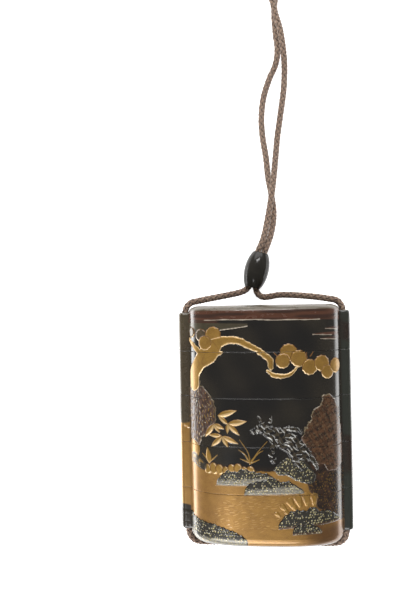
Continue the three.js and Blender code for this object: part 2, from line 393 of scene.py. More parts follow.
class Picture:
    """The landscape on the lacquer: clouds, an old pine, bamboo grass, banks, rocks and water.

    Each method below paints one motif on the painting that it is given. Places, sizes and widths
    are in mm over the unrolled case.
    """

    def paint(self, s: np.ndarray, y: np.ndarray, side: Side) -> Painting:
        """Paints one side.

        Args:
            s: places round the case from the side's middle.
            y: places along the case.
            side: which side it is.

        Returns:
            The finished painting.
        """
        art = Painting(s, y, BLACK)
        front = (
            self.sky, self.clouds, self.water, self.crag, self.bark, self.pine, self.grass, self.leaves,
            self.banks, self.animal, self.shore, self.ribs,
        )
        for motif in front if side is Side.FRONT else (self.sky, self.back):
            motif(art)
        # Black over the base's lowest rim: painted shade that stands in for the dark underside of the base's
        # rounded end.
        art.lay(-43.9 - y, BLACK, 0.0, 0.85, 0.5)
        return art

    @staticmethod
    def sky(art: Painting) -> None:
        """A faint brown and green haze in the black, stronger towards the sides.

        Args:
            art: the painting that it goes on.
        """
        s, y = art.s, art.y
        art.lay(ripple(s, y, 30.0, 0.4) * 3.0 + np.abs(s) * 0.12 - 2.0, SMOKE, 0.0, 0.8, 5.0)

    @staticmethod
    def clouds(art: Painting) -> None:
        """Bands of brown mist across the lid, with painted highlights as pale lines along their lower edges.

        Args:
            art: the painting that it goes on.
        """
        s, y = art.s, art.y
        wave = 0.25 * ripple(s, 0 * y, 26.0, 2.0) - 0.012 * s
        top = np.minimum(np.minimum(41.5 - y, y - 37.7 - wave), 30.5 - np.abs(s))
        art.lay(top, BROWN, 0.05, soft=0.5)
        streaks = np.minimum(top, ripple(0.22 * s, 2.6 * y, 9.0, 3.0) - 0.15)
        art.lay(streaks, BLACK, 0.0, 0.6, 0.7)
        # The pale line along the band's lower edge is a painted highlight.
        line = 0.12 + 0.05 * ripple(s, 0 * y, 7.0, 1.0) - np.abs(y - 37.7 - wave)
        art.lay(np.minimum(line, 21.0 - np.abs(s + 1)), EDGE_HIGHLIGHT, 0.06, 0.9)
        # A lighter olive coat over the lid's shoulder and top: painted sheen that stands in for the
        # shoulder's reflection.
        art.lay(y - 41.3, MIST, 0.0, 0.5, 0.6)
        shade = np.minimum(np.minimum(-17.0 - s, 38.0 - y), y - 32.5)
        art.lay(shade, BROWN, 0.0, 0.6, 4.0)
        taper = np.clip((-6.0 - s) / 19.0, 0, 1)
        left = np.minimum(36.3 + 0.5 * np.sqrt(taper) - y, y - 35.6 + 2.3 * taper)
        art.lay(np.minimum(left, -6.0 - s), OLIVE, 0.05, 1.0, 0.4)
        # The pale line under the olive band is a painted highlight.
        under = 0.13 - np.abs(y - 35.6 + 2.3 * taper**0.8)
        art.lay(np.minimum(under, np.minimum(-6.0 - s, s + 16.0)), EDGE_HIGHLIGHT, 0.05)
        bars = ((32.2, 17.0, 28.5, 0.9), (34.2, 22.0, 30.0, 0.6), (30.6, 20.0, 30.0, 0.5))
        for foot, start, end, share in bars:
            bow = np.clip((s - start) / (end - start), 0, 1)
            band = np.minimum(foot + 0.9 * np.sqrt(bow) - y, y - foot + 0.5 * bow)
            band = np.minimum(band, np.minimum(s - start, end - s))
            art.lay(band, BROWN, 0.04, share, 0.4)
            # The pale line along each bar's lower edge is a painted highlight.
            low = 0.11 - np.abs(y - foot + 0.5 * bow)
            art.lay(np.minimum(low, np.minimum(s - start, 0.5 * (start + end) + 2 - s)), EDGE_HIGHLIGHT, 0.04, 0.6)

    @staticmethod
    def crag(art: Painting) -> None:
        """A tall weathered crag at the right, brown above and dark below.

        Args:
            art: the painting that it goes on.
        """
        s, y = art.s, art.y
        dark = np.minimum(-2.0 - y - 0.2 * (24.0 - s), y + 35.0 - 0.3 * (28.0 - s))
        dark = np.minimum(dark, s - 13.6 - 2.2 * ripple(s, y, 10.0, 3.0) - 0.5 * np.maximum(-20.0 - y, 0))
        art.lay(dark, UMBER, 0.1, soft=1.2)
        patch = np.minimum(dark - 0.4, ripple(s, y, 7.0, 5.2) - 0.2)
        art.lay(patch, RUSSET, 0.0, 0.35, 1.0)
        seams = np.minimum(dark - 0.6, 0.10 - np.abs(ripple(s, y, 6.0, 9.1)))
        art.lay(seams, BLACK, 0.0, 0.7, 0.3)
        rows = [
            (23.4, 9.4, 1.2), (22.6, 7.4, 3.2), (23.4, 4.6, 4.0), (22.0, 1.6, 6.0), (22.8, -1.8, 6.4),
            (21.4, -4.8, 8.4), (25.2, -10.6, 6.4),
        ]
        rock = brush(s, y, rows) + 0.8 * ripple(s, y, 6.4, 1.3) + 0.35 * ripple(s, y, 2.6, 4.0)
        art.lay(rock, RUSSET, 0.3)
        worn = np.minimum(rock - 0.3, ripple(s, y, 5.0, 2.4) - 0.1)
        art.lay(worn, UMBER, 0.0, 0.7, 0.9)
        cracks = 0.15 - np.abs(ripple(s, y, 4.4, 7.7)) * 1.3
        art.lay(np.minimum(rock - 0.5, cracks), BLACK, 0.0, 0.75, 0.3)
        art.lay(np.minimum(rock - 0.4, ripple(s, y, 2.1, 6.1) - 0.45), MIST, 0.0, 0.5, 0.3)
        art.edge(rock, MIST, 0.3, 0.0, where=y + 4.0)
        dust = np.minimum(dots(s, y, 0.9, 3.0), np.minimum(dark - 0.5, -17.0 - y))
        art.lay(dust, GOLD, 0.06, 0.4, 0.15)

    @staticmethod
    def water(art: Painting) -> None:
        """Gold water over the lower third, with fine wave lines where it is open, and painted shade that
        darkens it towards the lower right and the left edge.

        Args:
            art: the painting that it goes on.
        """
        s, y = art.s, art.y
        shore = -16.4 + 0.6 * ripple(s, 0 * y, 12.0, 5.0) + 4.6 * smooth(-s, 24.5, 30.0)
        water = np.minimum(shore - y, 21.4 + 0.8 * ripple(s, y, 7.0, 2.2) - s)
        foot = np.minimum(-35.2 + 0.4 * ripple(s, 0 * y, 8.0, 4.0) - y, s - 4.0)
        water = np.maximum(water, foot)
        art.lay(water, GROUND, 0.04, soft=0.4)
        # Darker, browner gold towards the lower right and along the left edge: painted shade.
        dim = smooth(s, 4.0, 26.0) * smooth(-y, 22.0, 36.0)
        art.lay(np.minimum(water, (dim - 0.45) * 8.0), DIM_GOLD, 0.0, 0.85, 6.0)
        art.lay(np.minimum(water, -17.0 - s), DEEP, 0.0, 0.3, 9.0)
        art.lay(np.minimum(water, ripple(s, y, 16.0, 1.0) * 3.0), DEEP, 0.0, 0.18, 5.0)
        open_water = np.minimum(water - 0.6, 2.5 - np.hypot((s + 5.0) / 5.6, (y + 31.5) / 2.6))
        waves = dashes(s, y, 7.0, 0.8, 3.0, 0.13, 3.0)
        art.lay(np.minimum(waves, open_water), WAVE, 0.04, 0.45, 0.16)
        hollows = dashes(s, y + 0.3, 5.0, 0.8, 3.2, 0.12, 8.0)
        art.lay(np.minimum(hollows, open_water), DEEP, 0.0, 0.4, 0.16)
        rare = np.minimum(dashes(s, y, 3.0, 1.3, 3.4, 0.12, 5.0), water - 1.2)
        art.lay(rare, DEEP, 0.0, 0.3, 0.2)

    @staticmethod
    def bark(art: Painting) -> None:
        """The pine's old trunk at the left edge, rough and speckled.

        Args:
            art: the painting that it goes on.
        """
        s, y = art.s, art.y
        rows = [
            (-26.8, -6.6, 2.4), (-27.2, -2.0, 4.0), (-26.2, 3.2, 8.0), (-26.4, 6.6, 7.6), (-27.0, 10.2, 4.2),
            (-27.2, 14.0, 3.2),
        ]
        trunk = brush(s, y, rows) + 0.4 * ripple(s, y, 4.0, 3.1)
        art.lay(trunk, BARK, 0.3)
        art.lay(np.minimum(trunk - 0.2, ripple(2.2 * s, 0.7 * y, 5.0, 4.0)), UMBER, 0.0, 0.75, 0.7)
        for turn, coat, seed in ((84.0, MIST, 2.0), (97.0, GOLD, 6.0)):
            flecks = dashes(s, y, turn, 1.15, 2.0, 0.17, seed)
            art.lay(np.minimum(flecks, trunk - 0.3), coat, 0.36, 0.7, 0.18)
        art.edge(trunk, MIST, 0.25, 0.0)
        knot = stroke(s, y, [(-28.6, -12.0), (-28.2, -9.4)], [3.0, 3.4])
        art.lay(knot, GOLD, 0.2)
        art.edge(knot, DEEP, 0.2, 0.3)

    def pine(self, art: Painting) -> None:
        """The bright part of the pine: a forked trunk, an arching bough and round tufts of needles.

        Args:
            art: the painting that it goes on.
        """
        s, y = art.s, art.y
        behind = [(-23.4, 32.4, 2.3, OLIVE), (-28.2, 33.4, 1.9, OLIVE), (-18.6, 32.6, 2.9, GOLD)]
        before = [
            (-21.8, 29.6, 2.6), (8.4, 26.0, 3.1), (6.2, 23.0, 2.6), (12.0, 23.8, 3.0), (15.8, 20.7, 2.8),
            (20.4, 21.9, 2.9), (22.6, 18.8, 2.5), (26.4, 20.9, 2.7),
        ]
        for k, (cs, cy, radius, coat) in enumerate(behind):
            self.tuft(art, cs, cy, radius, k, coat)
        limbs = [
            [
                (-27.0, 14.4, 2.4), (-26.8, 18.6, 2.7), (-24.0, 22.6, 2.7), (-20.8, 25.6, 3.6),
                (-18.4, 28.2, 2.8),
            ],
            [(-22.4, 24.6, 1.3), (-26.4, 28.0, 0.9), (-30.6, 31.0, 0.6)],
            [(-20.2, 25.4, 1.4), (-16.4, 26.0, 0.8), (-15.4, 26.3, 0.3)],
            [
                (-19.4, 28.2, 2.6), (-14.6, 30.4, 1.55), (-9.6, 30.4, 1.25), (-5.4, 28.4, 1.1),
                (-1.8, 26.8, 0.8),
            ],
            [(-2.0, 26.4, 1.0), (1.6, 23.6, 1.1), (2.0, 20.8, 0.9)],
            [(0.6, 19.6, 0.4), (3.6, 17.8, 0.85), (8.4, 18.0, 0.65), (11.2, 20.6, 0.35)],
        ]
        wood = np.max([brush(s, y, rows) for rows in limbs], axis=0) + 0.16 * ripple(s, y, 3.2, 1.9)
        art.lay(wood, GOLD, 0.36)
        scales = 0.09 - np.abs(np.sin(s * 0.75 + 0.4) + np.cos(y * 0.65 + 1.3 * np.sin(s * 0.45)) * 0.9)
        art.lay(np.minimum(wood - 0.6, scales), DEEP, 0.0, 0.45, 0.25)
        # A wider pale line along the bough's lower edges: a painted highlight.
        lower = np.sin(0.11 * (s + 17.0)) * 0.6 + 30.0 - np.abs(s + 12.0) * 0.28 - y
        art.edge(wood, PALE, 0.2, 0.02, where=np.maximum(lower, 22.5 - y))
        art.edge(wood, PALE, 0.1, 0.02)
        for k, (cs, cy, radius) in enumerate(before):
            self.tuft(art, cs, cy, radius, k, GOLD)
        for cs, cy, turn in ((4.2, 25.6, 150), (14.6, 25.0, 80), (16.2, 25.4, 40)):
            way = np.radians(turn)
            twig = [(cs, cy - 0.8, 0.25), (cs + 1.3 * np.cos(way), cy + 1.0 * np.sin(way), 0.12)]
            art.lay(brush(s, y, twig), DEEP, 0.12)

    @staticmethod
    def tuft(art: Painting, cs: float, cy: float, radius: float, turn: int, coat: Coat) -> None:
        """A round tuft of needles: a disc with a scalloped edge and fine rays, and a pale painted highlight
        along its lower edge.

        Args:
            art: the painting.
            cs: its middle round the case.
            cy: its middle along the case.
            radius: its radius.
            turn: which way its rays start.
            coat: its finish.
        """
        ds, dy = art.s - cs, art.y - cy
        angle = np.arctan2(dy, ds) + 0.7 * turn
        disc = radius * (1 + 0.025 * np.cos(11 * angle)) - np.hypot(ds, dy)
        art.lay(disc, coat, 0.32)
        rays = 0.35 * np.cos(30 * angle) - 0.1
        art.lay(np.minimum(rays, np.minimum(disc - 0.35, radius * 0.8 - disc)), DEEP, 0.0, 0.35, 0.3)
        art.edge(disc, DEEP, 0.22, 0.0)
        # Pale line along the lower edge: a painted highlight.
        art.edge(disc, PALE, 0.2, 0.02, where=-dy - 0.35 * radius)

    @staticmethod
    def grass(art: Painting) -> None:
        """Thin stems and tufts of grass over the near bank, with a row of round stones.

        Args:
            art: the painting that it goes on.
        """
        s, y = art.s, art.y
        stems = [
            [(-6.0, -13.6, 0.26), (-6.6, -9.6, 0.15), (-9.6, -5.0, 0.1)],
            [(-5.8, -13.2, 0.26), (-3.2, -9.4, 0.15), (0.2, -5.6, 0.1)],
            [(-6.4, -12.6, 0.3), (-8.0, -10.0, 0.2), (-10.0, -8.6, 0.08)],
            [(-5.4, -12.4, 0.3), (-3.0, -9.8, 0.2), (-1.2, -8.8, 0.08)],
            [(-6.2, -13.0, 0.34), (-9.4, -11.8, 0.1)],
            [(-5.6, -13.2, 0.34), (-2.6, -12.0, 0.1)],
            [(-20.8, -13.4, 0.34), (-23.6, -10.6, 0.12)],
            [(-20.6, -13.2, 0.34), (-17.8, -10.8, 0.12)],
        ]
        for rows in stems:
            art.lay(brush(s, y, rows), GOLD, 0.12, 0.85)
        art.lay(leaf(s, y, (-20.8, -14.0), (-21.6, -8.2), 1.0), GOLD, 0.2)
        for k in range(8):
            cs = -21.6 + 2.25 * k
            high = 0.5 * np.sin(1.7 * k)
            stone = stroke(s, y, [(cs, -15.4 + high), (cs + 0.3, -16.4)], [1.2 + 0.15 * (k % 3), 1.35])
            art.lay(stone, GOLD, 0.26)
            art.edge(stone, DEEP, 0.22, 0.0, where=y + 16.6)
            # A pale line inside each stone's right side: a painted highlight.
            art.edge(stone, PALE, 0.2, 0.26, where=s - cs - 0.2)

    @staticmethod
    def leaves(art: Painting) -> None:
        """Three sprays of bamboo leaves in gold, with a pale painted highlight over their lower halves and a
        thin dark line of painted shade along their upper edges.

        Args:
            art: the painting that it goes on.
        """
        sprays = [
            ((-13.8, 0.6), [(8, 7.2, 1.1), (-43, 6.0, 0.9), (140, 4.6, 0.8), (-92, 3.6, 0.7)]),
            ((-17.4, 3.4), [(16, 7.4, 1.1)]),
            ((-18.8, 0.4), [(-126, 6.2, 0.95), (-56, 3.8, 0.75), (-24, 4.2, 0.8)]),
            ((-15.8, -3.9), [(176, 5.4, 0.8), (-137, 6.0, 0.9), (-62, 4.6, 0.85), (-24, 6.4, 0.9)]),
        ]
        for start, fan in sprays:
            for degrees, length, width in fan:
                blade = leaf(art.s, art.y, start, toward(start, degrees, length), width)
                art.lay(blade, GOLD, 0.26)
                way = np.radians(degrees)
                half = np.sin(way) * (art.s - start[0]) - np.cos(way) * (art.y - start[1])
                lower = half if np.cos(way) > 0 else -half
                # Pale lower half: a painted highlight.
                art.lay(np.minimum(blade - 0.06, lower), PALE, 0.0, 0.5, 0.3)
                # Thin dark line on the upper side: painted shade.
                art.edge(blade, DEEP, 0.12, 0.0, where=-lower)

    @staticmethod
    def banks(art: Painting) -> None:
        """Banks of speckled ground that run into the water, paler along their feet.

        Args:
            art: the painting that it goes on.
        """
        s, y = art.s, art.y
        rise = brush(s, y, [(4.6, -15.6, 2.0), (8.4, -14.6, 3.4), (12.0, -16.4, 3.6), (15.0, -18.4, 2.4)])
        rise += 0.3 * ripple(s, y, 3.4, 2.0)
        art.lay(rise, ROCK, 0.26)
        art.speckle(rise, 1.0, 0.34, 0.2)
        for bank in (Bank(-18.2, 5.0, -21.5, 5.6, 0.3), Bank(-8.2, 13.0, -24.7, 5.4, 0.6)):
            hump, foot = bank.depth(s, y), bank.foot(s)
            art.lay(hump, ROCK, 0.32)
            top = bank.height * (0.30 + 0.25 * bank.share(s))
            pale = foot + top + 0.4 * ripple(s, y, 3.0, bank.left) - y
            art.lay(np.minimum(hump, pale), PEARL, 0.0, 0.8, 1.2)
            art.speckle(hump, bank.left, 0.38)
            art.edge(hump, BLACK, 0.35, 0.0, where=y - foot - 0.8)
        strokes = dashes(s, y, -38.0, 0.8, 3.6, 0.3, 4.0)
        patch = brush(s, y, [(-27.6, -12.6, 1.5), (-23.4, -15.0, 1.1)])
        art.lay(patch + 0.5, ROCK, 0.1, 0.85, 0.6)
        art.lay(np.minimum(strokes, patch), GOLD, 0.16, 0.8, 0.2)

    @staticmethod
    def animal(art: Painting) -> None:
        """A dark animal at rest on the bank, its shaggy coat drawn in silver strokes.

        Args:
            art: the painting that it goes on.
        """
        s, y = art.s, art.y
        limbs = [
            [(-1.8, -0.8, 1.5), (1.6, -2.4, 2.3), (5.6, -4.6, 3.2), (9.8, -7.4, 3.2), (13.6, -10.4, 2.2)],
            [(-1.2, -0.6, 1.5), (-4.6, -1.8, 1.0)],
            [(3.0, -5.6, 1.5), (1.6, -9.6, 0.9), (2.4, -12.6, 0.8)],
            [(8.8, -9.0, 1.7), (10.4, -13.0, 0.9), (12.4, -15.4, 0.6)],
            [(13.2, -9.6, 1.5), (16.2, -12.2, 0.9), (18.0, -15.6, 0.5)],
            [(-1.0, 0.4, 0.7), (-2.6, 3.0, 0.4)],
            [(0.8, 0.2, 0.7), (2.0, 3.2, 0.3)],
            [(6.6, -1.6, 1.2), (9.8, -1.2, 0.8), (12.6, -2.6, 0.4)],
        ]
        body = np.max([brush(s, y, rows) for rows in limbs], axis=0) + 0.25 * ripple(s, y, 2.6, 2.0)
        art.lay(body, BLACK, 0.42)
        art.lay(np.minimum(body - 0.2, ripple(s, y, 3.2, 5.0)), MIST, 0.0, 0.25, 0.8)
        for turn, row, length, width, seed, share in (
            (-34.0, 1.4, 4.6, 0.14, 2.0, 0.9),
            (-52.0, 2.1, 3.2, 0.10, 7.0, 0.5),
            (-8.0, 2.3, 2.8, 0.11, 4.0, 0.6),
        ):
            hair = dashes(s, y, turn, row, length, width, seed)
            art.lay(np.minimum(hair, body + 0.25), SILVER, 0.46, share, 0.14)

    @staticmethod
    def shore(art: Painting) -> None:
        """The nearest rocks at the foot, with rounded gold stones behind those at the right, each darkened on
        its left side by painted shade and lit along its middle by a pale painted highlight.

        Args:
            art: the painting that it goes on.
        """
        s, y = art.s, art.y
        for cs, cy, turn, size in (
            (16.6, -25.4, -92, 1.9), (13.6, -25.2, -82, 2.1), (10.6, -25.6, -72, 2.1), (7.8, -26.8, -60, 1.9),
            (5.2, -28.6, -48, 1.5), (3.0, -31.2, -36, 1.1), (9.4, -28.8, -62, 1.4), (6.6, -30.6, -45, 1.2),
        ):
            far = toward((cs, cy), turn, 1.3 * size)
            stone = stroke(s, y, [(cs, cy), far], [size * 0.72, size * 0.42])
            art.lay(stone, GOLD, 0.28, 0.6)
            # Darker left side of each stone: painted shade.
            art.lay(np.minimum(stone, cs - 0.5 - s), DEEP, 0.0, 0.3, 0.6)
            # Pale streak along its middle: a painted highlight.
            art.lay(np.minimum(stone - 0.35 * size, far[1] + 0.6 - y), WAVE, 0.0, 0.45, 0.5)
        for bank in (Bank(3.6, 27.0, -36.8, 6.4, 1.8), Bank(8.6, 19.4, -38.9, 3.9, 0.3)):
            hump, foot = bank.depth(s, y), bank.foot(s)
            art.lay(hump, ROCK, 0.34)
            art.lay(np.minimum(hump, foot + 0.9 - y), DIM_GOLD, 0.0, 0.6, 0.8)
            art.speckle(hump, bank.left, 0.4)
            art.edge(hump, BLACK, 0.3, 0.0, where=y - foot - 0.8)
        slope = -41.6 + 6.2 * np.sqrt(np.clip((-7.4 - s) / 14.0, 0, 1)) + 2.4 * smooth(-s, 22.0, 33.0)
        near = np.minimum(slope + 0.4 * ripple(s, 0 * y, 3.6, 2.6) - y, -7.4 - s)
        art.lay(near, ROCK, 0.32)
        art.lay(np.minimum(near, 1.6 + 0.5 * ripple(s, y, 3.4, 1.0) - y - 42.6), PEARL, 0.0, 0.75, 1.2)
        art.speckle(near, 6.0, 0.38, 0.3)
        art.edge(near, BLACK, 0.3, 0.0)

    @staticmethod
    def ribs(art: Painting) -> None:
        """The ribs' plain finish: dark, with a lighter brown stretch on the left one's upper part, which is a
        painted reflection, and gold at the left one's middle.

        Args:
            art: the painting that it goes on.
        """
        s, y = art.s, art.y
        left, right = -RIB_S - s, s - RIB_S
        art.lay(left, SMOKE, 0.0, 1.0, 0.1)
        art.lay(right, GREEN, 0.0, 1.0, 0.1)
        # Lighter brown over the left rib's upper part: a painted reflection.
        art.lay(np.minimum(left, y + 1.6), MIST, 0.0, 0.5, 5.0)
        art.lay(np.minimum(left, np.minimum(29.0 - y, y + 1.6)), UMBER, 0.0, 0.35, 5.0)
        middle = np.minimum(-0.8 - y, y + 31.4) + 0.5 * ripple(s, y, 6.0, 1.0)
        art.lay(np.minimum(left, middle), GROUND, 0.0, 0.85, 0.6)
        for level, reach in ((33.0, 3.4), (-12.0, 7.0)):
            patch = reach - np.abs(y - level) + ripple(s, y, 6.0, level)
            art.lay(np.minimum(right, patch), UMBER, 0.0, 0.85, 3.0)

    @staticmethod
    def back(art: Painting) -> None:
        """A plainer view on the back: mist, water, two banks and bamboo leaves.

        Args:
            art: the painting that it goes on.
        """
        s, y = art.s, art.y
        wave = 0.3 * ripple(s, 0 * y, 24.0, 4.0)
        band = np.minimum(np.minimum(41.5 - y, y - 38.4 - wave), 30.5 - np.abs(s))
        art.lay(band, BROWN, 0.05, soft=0.5)
        # Pale line along the band's lower edge: a painted highlight.
        art.lay(np.minimum(0.13 - np.abs(y - 38.4 - wave), 21.0 - np.abs(s - 2)), PALE, 0.05)
        shore = -20.0 + 0.8 * ripple(s, 0 * y, 13.0, 1.0)
        water = np.minimum(shore - y, 31.4 - np.abs(s))
        art.lay(water, GROUND, 0.04, soft=0.4)
        art.lay(np.minimum(dashes(s, y, 4.0, 0.7, 2.8, 0.15, 3.0), water - 1.6), WAVE, 0.08, 0.7, 0.16)
        for bank in (Bank(-26.0, 2.0, -22.6, 5.4, 0.6), Bank(6.0, 29.0, -36.8, 5.6, 1.0)):
            hump = bank.depth(s, y)
            art.lay(hump, ROCK, 0.32)
            art.speckle(hump, bank.left, 0.38)
            art.edge(hump, BLACK, 0.3, 0.0, where=y - bank.base - 1.2)
        for start, fan in (
            ((-8.0, -8.0), [(70, 6.6), (20, 6.0), (-30, 6.4), (130, 5.4), (-100, 4.8)]),
            ((-13.0, -11.0), [(110, 6.0), (160, 5.4), (40, 5.0), (-150, 4.4)]),
        ):
            for degrees, length in fan:
                blade = leaf(s, y, start, toward(start, degrees, length), 1.0)
                art.lay(blade, GOLD, 0.24)
                art.edge(blade, DEEP, 0.12, 0.0)
        art.lay(brush(s, y, [(-9.0, -19.0, 0.22), (-10.5, -14.0, 0.18), (-8.0, -8.0, 0.12)]), GOLD, 0.12)
        art.lay(np.abs(s) - RIB_S, BLACK, 0.0, 1.0, 0.1)


def link(mesh: bpy.types.Mesh, name: str, smooth_below: float) -> bpy.types.Object:
    """Makes a smooth object of a mesh, with sharp edges where its faces meet steeply.

    Args:
        mesh: its mesh.
        name: its name.
        smooth_below: the angle above which an edge is sharp, in degrees.

    Returns:
        The new object, at the origin.
    """
    mesh.shade_smooth()
    mesh.set_sharp_from_angle(angle=np.radians(smooth_below))
    obj = bpy.data.objects.new(name, mesh)
    bpy.context.scene.collection.objects.link(obj)
    return obj


def stand_in(obj: bpy.types.Object, node: str, finish: bpy.types.Material) -> None:
    """Gives a piece its material and puts it in a node's place.

    Args:
        obj: the piece.
        node: the node that it stands for.
        finish: its material.
    """
    obj.data.materials.append(finish)
    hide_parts(node)
    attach(obj, "root")


def layer(mesh: bpy.types.Mesh, name: str, values: np.ndarray) -> None:
    """Keeps one number for each point of a mesh, for the materials.

    Args:
        mesh: the mesh.
        name: the layer's name.
        values: the numbers.
    """
    data = mesh.attributes.new(name, "FLOAT", "POINT").data
    data.foreach_set("value", values.astype(np.float32))


class Shell:
    """Gathers the points, faces and coats of one closed mesh, in mm."""

    def __init__(self) -> None:
        """Starts empty."""
        self.points: list[np.ndarray] = []
        self.coats: list[np.ndarray] = []
        self.faces: list[np.ndarray] = []
        self.count = 0

    def add(self, points: np.ndarray, coats: np.ndarray | None = None) -> np.ndarray:
        """Adds points.

        Args:
            points: an array whose last axis is x, y, z.
            coats: a coat row for each point, or None for the inside's.

        Returns:
            The points' numbers, in the shape of the array without its last axis.
        """
        flat = points.reshape(-1, 3)
        if coats is None:
            coats = np.tile(Painting.row(INSIDE), (len(flat), 1))
        self.points.append(flat)
        self.coats.append(coats)
        index = np.arange(self.count, self.count + len(flat)).reshape(points.shape[:-1])
        self.count += len(flat)
        return index

    def skin(self, index: np.ndarray, outward: bool = True) -> None:
        """Covers a grid that closes round its second axis with four-sided faces.

        Args:
            index: point numbers, one row for each loop.
            outward: whether the loops run so that the faces look outwards.
        """
        after = np.roll(index, -1, axis=1)
        quads = np.stack([index[:-1], after[:-1], after[1:], index[1:]], axis=-1).reshape(-1, 4)
        self.faces.append(quads if outward else quads[:, ::-1])

    def flat(self, outer: np.ndarray, holes: list, up: bool) -> None:
        """Covers a flat face, square to y, that has holes.

        Args:
            outer: point numbers round its outside.
            holes: point numbers round each hole.
            up: whether the face looks along +y.
        """
        loops = [outer, *holes]
        numbers = np.concatenate(loops)
        every = np.vstack(self.points)[numbers][:, [0, 2]]
        edges, start = [], 0
        for loop in loops:
            ring = start + np.arange(len(loop))
            edges += np.stack([ring, np.roll(ring, -1)], axis=1).tolist()
            start += len(loop)
        found = delaunay_2d_cdt([tuple(p) for p in every.tolist()], edges, [], 0, 1e-7)
        tris = np.array([t for t in found[2] if len(t) == 3])
        origin = np.array([row[0] for row in found[3]])
        place = every[origin]
        middle = place[tris].mean(axis=1)
        keep = inside(middle, every[: len(outer)])
        start = len(outer)
        for hole in holes:
            keep &= ~inside(middle, every[start : start + len(hole)])
            start += len(hole)
        tris = tris[keep]
        a, b, c = (place[tris[:, k]] for k in range(3))
        turn = (b[:, 0] - a[:, 0]) * (c[:, 1] - a[:, 1]) - (b[:, 1] - a[:, 1]) * (c[:, 0] - a[:, 0])
        wrong = (turn > 0) == up
        tris[wrong] = tris[wrong][:, ::-1]
        self.faces.append(numbers[origin[tris]])

    def build(self, name: str) -> bpy.types.Object:
        """Makes the object, with the coats as layers on its points.

        Args:
            name: the object's name.

        Returns:
            The new object, at the origin.
        """
        points, coats = np.vstack(self.points), np.vstack(self.coats)
        loops = np.concatenate([faces.ravel() for faces in self.faces])
        totals = np.concatenate([np.full(len(faces), faces.shape[1]) for faces in self.faces])
        mesh = bpy.data.meshes.new(name)
        mesh.vertices.add(len(points))
        mesh.vertices.foreach_set("co", (points * MM).astype(np.float32).ravel())
        mesh.loops.add(len(loops))
        mesh.loops.foreach_set("vertex_index", loops.astype(np.int32))
        mesh.polygons.add(len(totals))
        starts = np.concatenate([[0], np.cumsum(totals)[:-1]])
        mesh.polygons.foreach_set("loop_start", starts.astype(np.int32))
        mesh.update(calc_edges=True)
        mesh.validate()
        color = mesh.attributes.new("paint", "FLOAT_COLOR", "POINT")
        rgba = np.concatenate([coats[:, :3], np.ones((len(coats), 1))], axis=1)
        color.data.foreach_set("color", rgba.astype(np.float32).ravel())
        for column, label in enumerate(("metal", "rough", "grain", "fleck"), start=3):
            layer(mesh, label, coats[:, column])
        return link(mesh, name, 38)


def inside(points: np.ndarray, loop: np.ndarray) -> np.ndarray:
    """Tells which points lie inside a closed loop, by counting the sides that a ray crosses.

    Args:
        points: the places to test.
        loop: the loop's corners.

    Returns:
        True for each place inside.
    """
    ax, az = loop.T
    bx, bz = np.roll(loop, -1, axis=0).T
    px, pz = points[:, :1], points[:, 1:]
    spans = (az > pz) != (bz > pz)
    rise = np.where(bz == az, 1.0, bz - az)
    return (spans & (px < (bx - ax) * (pz - az) / rise + ax)).sum(axis=1) % 2 == 1


